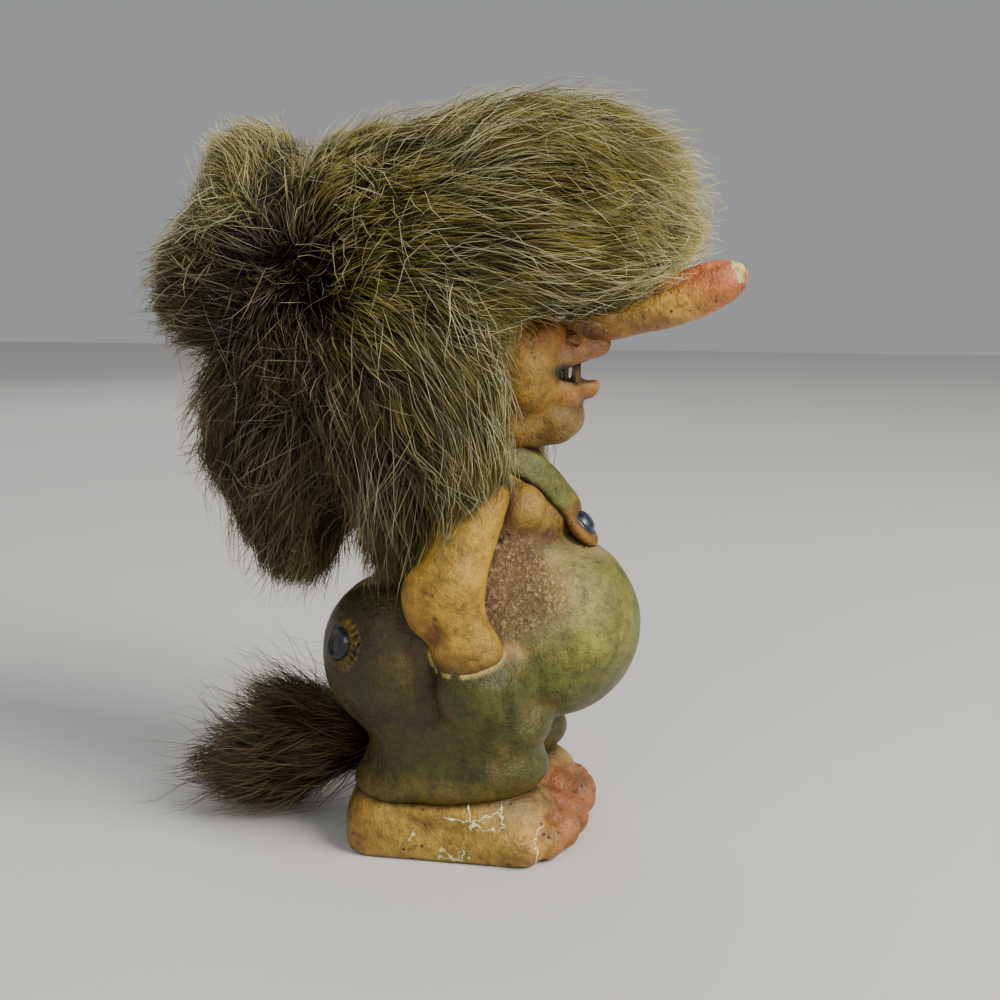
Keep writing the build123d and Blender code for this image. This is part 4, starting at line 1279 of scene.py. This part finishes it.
def strandMesh(name, curves, stray, look, rng):
    # A strand is a three-sided tube that narrows to a point, closed at its root. It has a cell of its
    # own in the texture, three stripes side by side from root to tip.
    n, rings = len(curves[0]), len(curves)
    axis = np.stack(curves)
    tangent = np.gradient(axis, axis=0)
    tangent /= np.sqrt((tangent ** 2).sum(2))[..., None] + 1e-9
    helper = unit(rng.normal(size=(n, 3)))[None]
    u = np.cross(tangent, np.broadcast_to(helper, tangent.shape))
    u /= np.sqrt((u ** 2).sum(2))[..., None] + 1e-9
    v = np.cross(tangent, u)
    thick = look["width"] * (0.7 + 0.6 * rng.random(n)) * np.where(stray, 0.85, 1.0)
    taper = 1 - 0.55 * np.linspace(0, 1, rings) ** 2
    angle = np.arange(3) * 2 * np.pi / 3
    radius = (thick[None] * taper[:, None])[:-1]
    tube = (axis[:-1, :, None] + radius[..., None, None] * (
        np.cos(angle)[:, None] * u[:-1, :, None] + np.sin(angle)[:, None] * v[:-1, :, None]))
    # Points are ordered strand by strand: rings of three, then the tip
    per = 3 * (rings - 1) + 1
    points = np.concatenate([tube.transpose(1, 0, 2, 3).reshape(n, -1, 3), axis[-1][:, None]], 1)
    sides, uvs = [], []
    stripes = np.linspace(0.06, 0.94, 4)
    heights = np.linspace(0.1, 0.97, rings)
    for ring in range(rings - 2):
        for j in range(3):
            k = (j + 1) % 3
            a, b = 3 * ring, 3 * ring + 3
            sides.append([(a + j, a + k, b + k), (a + j, b + k, b + j)])
            x0, x1, y0, y1 = stripes[j], stripes[j + 1], heights[ring], heights[ring + 1]
            uvs.append([((x0, y0), (x1, y0), (x1, y1)), ((x0, y0), (x1, y1), (x0, y1))])
    last = 3 * (rings - 2)
    for j in range(3):
        k = (j + 1) % 3
        sides.append([(last + j, last + k, per - 1)])
        x0, x1, y0, y1 = stripes[j], stripes[j + 1], heights[rings - 2], heights[rings - 1]
        uvs.append([((x0, y0), (x1, y0), ((x0 + x1) / 2, y1))])
    sides.append([(0, 2, 1)])
    uvs.append([((0.1, 0.02), (0.5, 0.08), (0.9, 0.02))])
    pattern = np.array([t for group in sides for t in group])
    cellUv = np.array([t for group in uvs for t in group])
    triangles = (pattern[None] + (np.arange(n) * per)[:, None, None]).reshape(-1, 3)
    mesh = makeMesh(name, points.reshape(-1, 3), [triangles])
    columns = int(math.ceil(math.sqrt(n * 5)))
    rowsOfCells = int(math.ceil(n / columns))
    cell = np.stack([np.arange(n) % columns, np.arange(n) // columns], 1)
    uv = (cellUv[None] + cell[:, None, None, :]) / np.array([columns, rowsOfCells])
    layer = mesh.uv_layers.new(name="OFBake")
    layer.data.foreach_set("uv", uv.astype(np.float32).ravel())
    along = np.concatenate([np.repeat(np.linspace(0, 1, rings)[:-1], 3), [1.0]])
    storeNumber(mesh, "along", np.tile(along, n))
    shade = (0.5 + 0.76 * rng.random(n)) * (1 + 0.3 * lattice(curves[0], 5.0, 70))
    # Painted light and shade: each zone makes the strands whose roots lie in it lighter or darker
    dusk = np.ones(n)
    for centre, radii, strength in look["dusk"]:
        dusk *= 1 + (strength - 1) * nearEgg(curves[0], centre, radii, 0.6)
    shade *= dusk
    storeNumber(mesh, "shade", np.repeat(shade, per))
    # Pale strands with painted glints: strays and a few others, fewer in the painted shade and more in the
    # painted light
    pale = (np.where(stray, 0.4, 0.0) + 0.45 * rng.random(n) ** 9) * np.minimum(dusk, 1)
    pale += 0.22 * np.maximum(dusk - 1, 0)
    storeNumber(mesh, "pale", np.repeat(np.clip(pale, 0, 1), per))
    return mesh


def bodyField(points):
    # Everything that the pile lies on
    noseLump = lump((0, 20, 106.4), (0, 53, 116.4), r=4.5, end=4.9, melt=0.5)
    return melted(points, trunkLumps + armLumps + mirrorLumps(armLumps) + headLumps + [noseLump])


def layPelt(name, look, body, node):
    # The dark skin that carries the roots, and the field of its lumps
    def field(points):
        return melted(points, look["lumps"])
    points, quads = growSkin(look["lumps"], field, look["quads"])
    under = plainPaint(*look["under"], 1.6, 0.95, 0.4)
    addPiece(name, makeMesh(name, points, [quads]), under, body, [node])
    return points, quads, field


def makeWig():
    # The pile over the pelt: strands are grown in one go and shared out over the nodes by their roots
    rng = np.random.default_rng(7)
    points, quads, peltField = layPelt("wigPelt", pelt, "figure", "wig_cap")
    count = wigFur["strands"]
    roots = scatterRoots(points, quads, int(count * 1.3), rng)
    forward = soleY - roots[:, 1]
    # No roots on the face, inside the body, or under the chin
    face = (forward > 12) & (np.abs(roots[:, 0]) < 30) & (roots[:, 2] < 108)
    inner = bodyField(roots) < 0.8
    roots = roots[~(face | inner)][:count]
    normals = outward(peltField, roots)
    flows = guidedFlow(roots, guides, wigFur["reach"])

    # Every strand keeps away from the windows by a little more or less
    leeway = 1.2 + rng.exponential(2.2, len(roots))

    def avoid(p):
        # The nearest of pelt, body and windows
        free = np.minimum(*[lumpDistance(p, window) for window in pelt["windows"]])
        return np.minimum(np.minimum(peltField(p) + 0.5, bodyField(p) + 0.3), free + leeway)
    curves, stray = growFur(roots, normals, flows, avoid, wigFur, rng, pelt["hull"], pelt["hold"])
    # The few strands that were turned far out of the pile are left out
    out = np.max([melted(c, pelt["hull"]) for c in curves], axis=0)
    kept = (out < pelt["farthest"]) & (np.abs(curves[-1][:, 0]) < pelt["widest"])
    curves, stray, roots = [c[kept] for c in curves], stray[kept], roots[kept]
    fur = furStrand("wigFur", wigFur["look"])
    forward = soleY - roots[:, 1]
    side = (np.abs(roots[:, 0]) > 13) & (roots[:, 2] < 112) & (forward > -17)
    areas = {
        "right_side_fur": side & (roots[:, 0] < 0), "left_side_fur": side & (roots[:, 0] > 0),
        "crown_fur": ~side & (forward > -20) & (roots[:, 2] > 104),
    }
    areas["back_fur"] = ~side & ~areas["crown_fur"] & (roots[:, 2] > 104)
    areas["nape_fur"] = ~side & ~areas["crown_fur"] & ~areas["back_fur"]
    for node, mask in areas.items():
        chosen = np.nonzero(mask)[0]
        bundles = max(1, int(math.ceil(len(chosen) / wigFur["bundle"])))
        first, *others = node.split("_")
        for number in range(bundles):
            some = chosen[number::bundles]
            name = first + "".join(word.capitalize() for word in others) + str(number + 1)
            mesh = strandMesh(name, [c[some] for c in curves], stray[some], wigFur, rng)
            addPiece(name, mesh, fur, "figure", [node])
        print(node, len(chosen), "strands")


def makeTail():
    # A pelt round the tail's core, whose strands keep off the core and the floor
    rng = np.random.default_rng(11)
    points, quads, core = layPelt("tailPelt", tailFur, "tail", "tail_fur")
    roots = scatterRoots(points, quads, tailFur["strands"], rng)
    normals = outward(core, roots)
    flows = guidedFlow(roots, tailGuides, tailFur["reach"])

    def avoid(p):
        # The nearer one of core and floor
        return np.minimum(core(p) + 0.5, p[:, 2] - 1.0)
    curves, stray = growFur(roots, normals, flows, avoid, tailFur, rng)
    for ring in curves:
        ring[:, 2] = np.maximum(ring[:, 2], 0.4)
    mesh = strandMesh("tailFur", curves, stray, tailFur, rng)
    addPiece("tailFur", mesh, furStrand("tailFur", tailFur["look"]), "tail", ["tail_fur"])
    print("tail made")


# Stage: pale floor, soft light, and the camera where the photograph was taken

stage = {
    "floor": 3.0, "floorTone": (206, 203, 198),
    "camera": (-0.28154, -0.07344, 0.12149), "turn": 12.0, "dip": 10.0, "lens": 50.4,
    # Lights: place in metres, size, watts, warmth
    "lights": [((-0.3, -0.78, 0.68), 0.5, 17.0, (1.0, 0.97, 0.92)),
               ((-0.8, 0.1, 0.6), 0.8, 3.0, (0.96, 0.98, 1.0)),
               ((0.7, 0.5, 0.6), 0.7, 2.0, (1.0, 1.0, 1.0))],
    "world": 0.36,
}


def makeStage():
    # Floor, world, lights that aim at the figure's middle, and the camera
    half = stage["floor"] / 2
    mesh = bpy.data.meshes.new("floor")
    corners = [(-half, -half, 0), (half, -half, 0), (half, half, 0), (-half, half, 0)]
    mesh.from_pydata(corners, [], [(0, 1, 2, 3)])
    floor = bpy.data.objects.new("floor", mesh)
    bpy.context.scene.collection.objects.link(floor)
    floor.location = (0, 0, -0.0002)
    m = Maker("floorPaper")
    tone = m.noise(60.0, 3)
    low, high = linear(stage["floorTone"]) * 0.97, linear(stage["floorTone"])
    mesh.materials.append(m.finish(m.mix(tone, low, high), tone * 0.1 + 0.75))
    world = bpy.data.worlds.new("studio")
    world.use_nodes = True
    world.node_tree.nodes["Background"].inputs["Color"].default_value = (0.9, 0.92, 0.95, 1)
    world.node_tree.nodes["Background"].inputs["Strength"].default_value = stage["world"]
    bpy.context.scene.world = world
    target = np.array([0, 0, 0.07])
    for place, size, watts, warmth in stage["lights"]:
        lamp = bpy.data.lights.new("softbox", "AREA")
        lamp.energy, lamp.size, lamp.color = watts, size, warmth
        holder = bpy.data.objects.new("softbox", lamp)
        bpy.context.scene.collection.objects.link(holder)
        holder.location = place
        aim = target - np.array(place)
        aim /= np.sqrt(aim @ aim)
        holder.rotation_euler = (math.acos(-aim[2]), 0, math.atan2(aim[1], aim[0]) - math.pi / 2)
    camera = bpy.data.objects.new("camera", bpy.data.cameras.new("camera"))
    bpy.context.scene.collection.objects.link(camera)
    camera.location = stage["camera"]
    # Level camera: it looks along +X, turned towards +Y and dipped
    camera.rotation_euler = (math.radians(90 - stage["dip"]), 0, math.radians(stage["turn"] - 90))
    camera.data.lens, camera.data.sensor_width = stage["lens"], 36.0
    camera.data.clip_start = 0.01
    bpy.context.scene.camera = camera
    print("stage set")


makeStage()
makeBody()
makeLimbs()
makeHead()
makeNose()
makeStrap()
makeTrim()
makeWig()
makeTail()
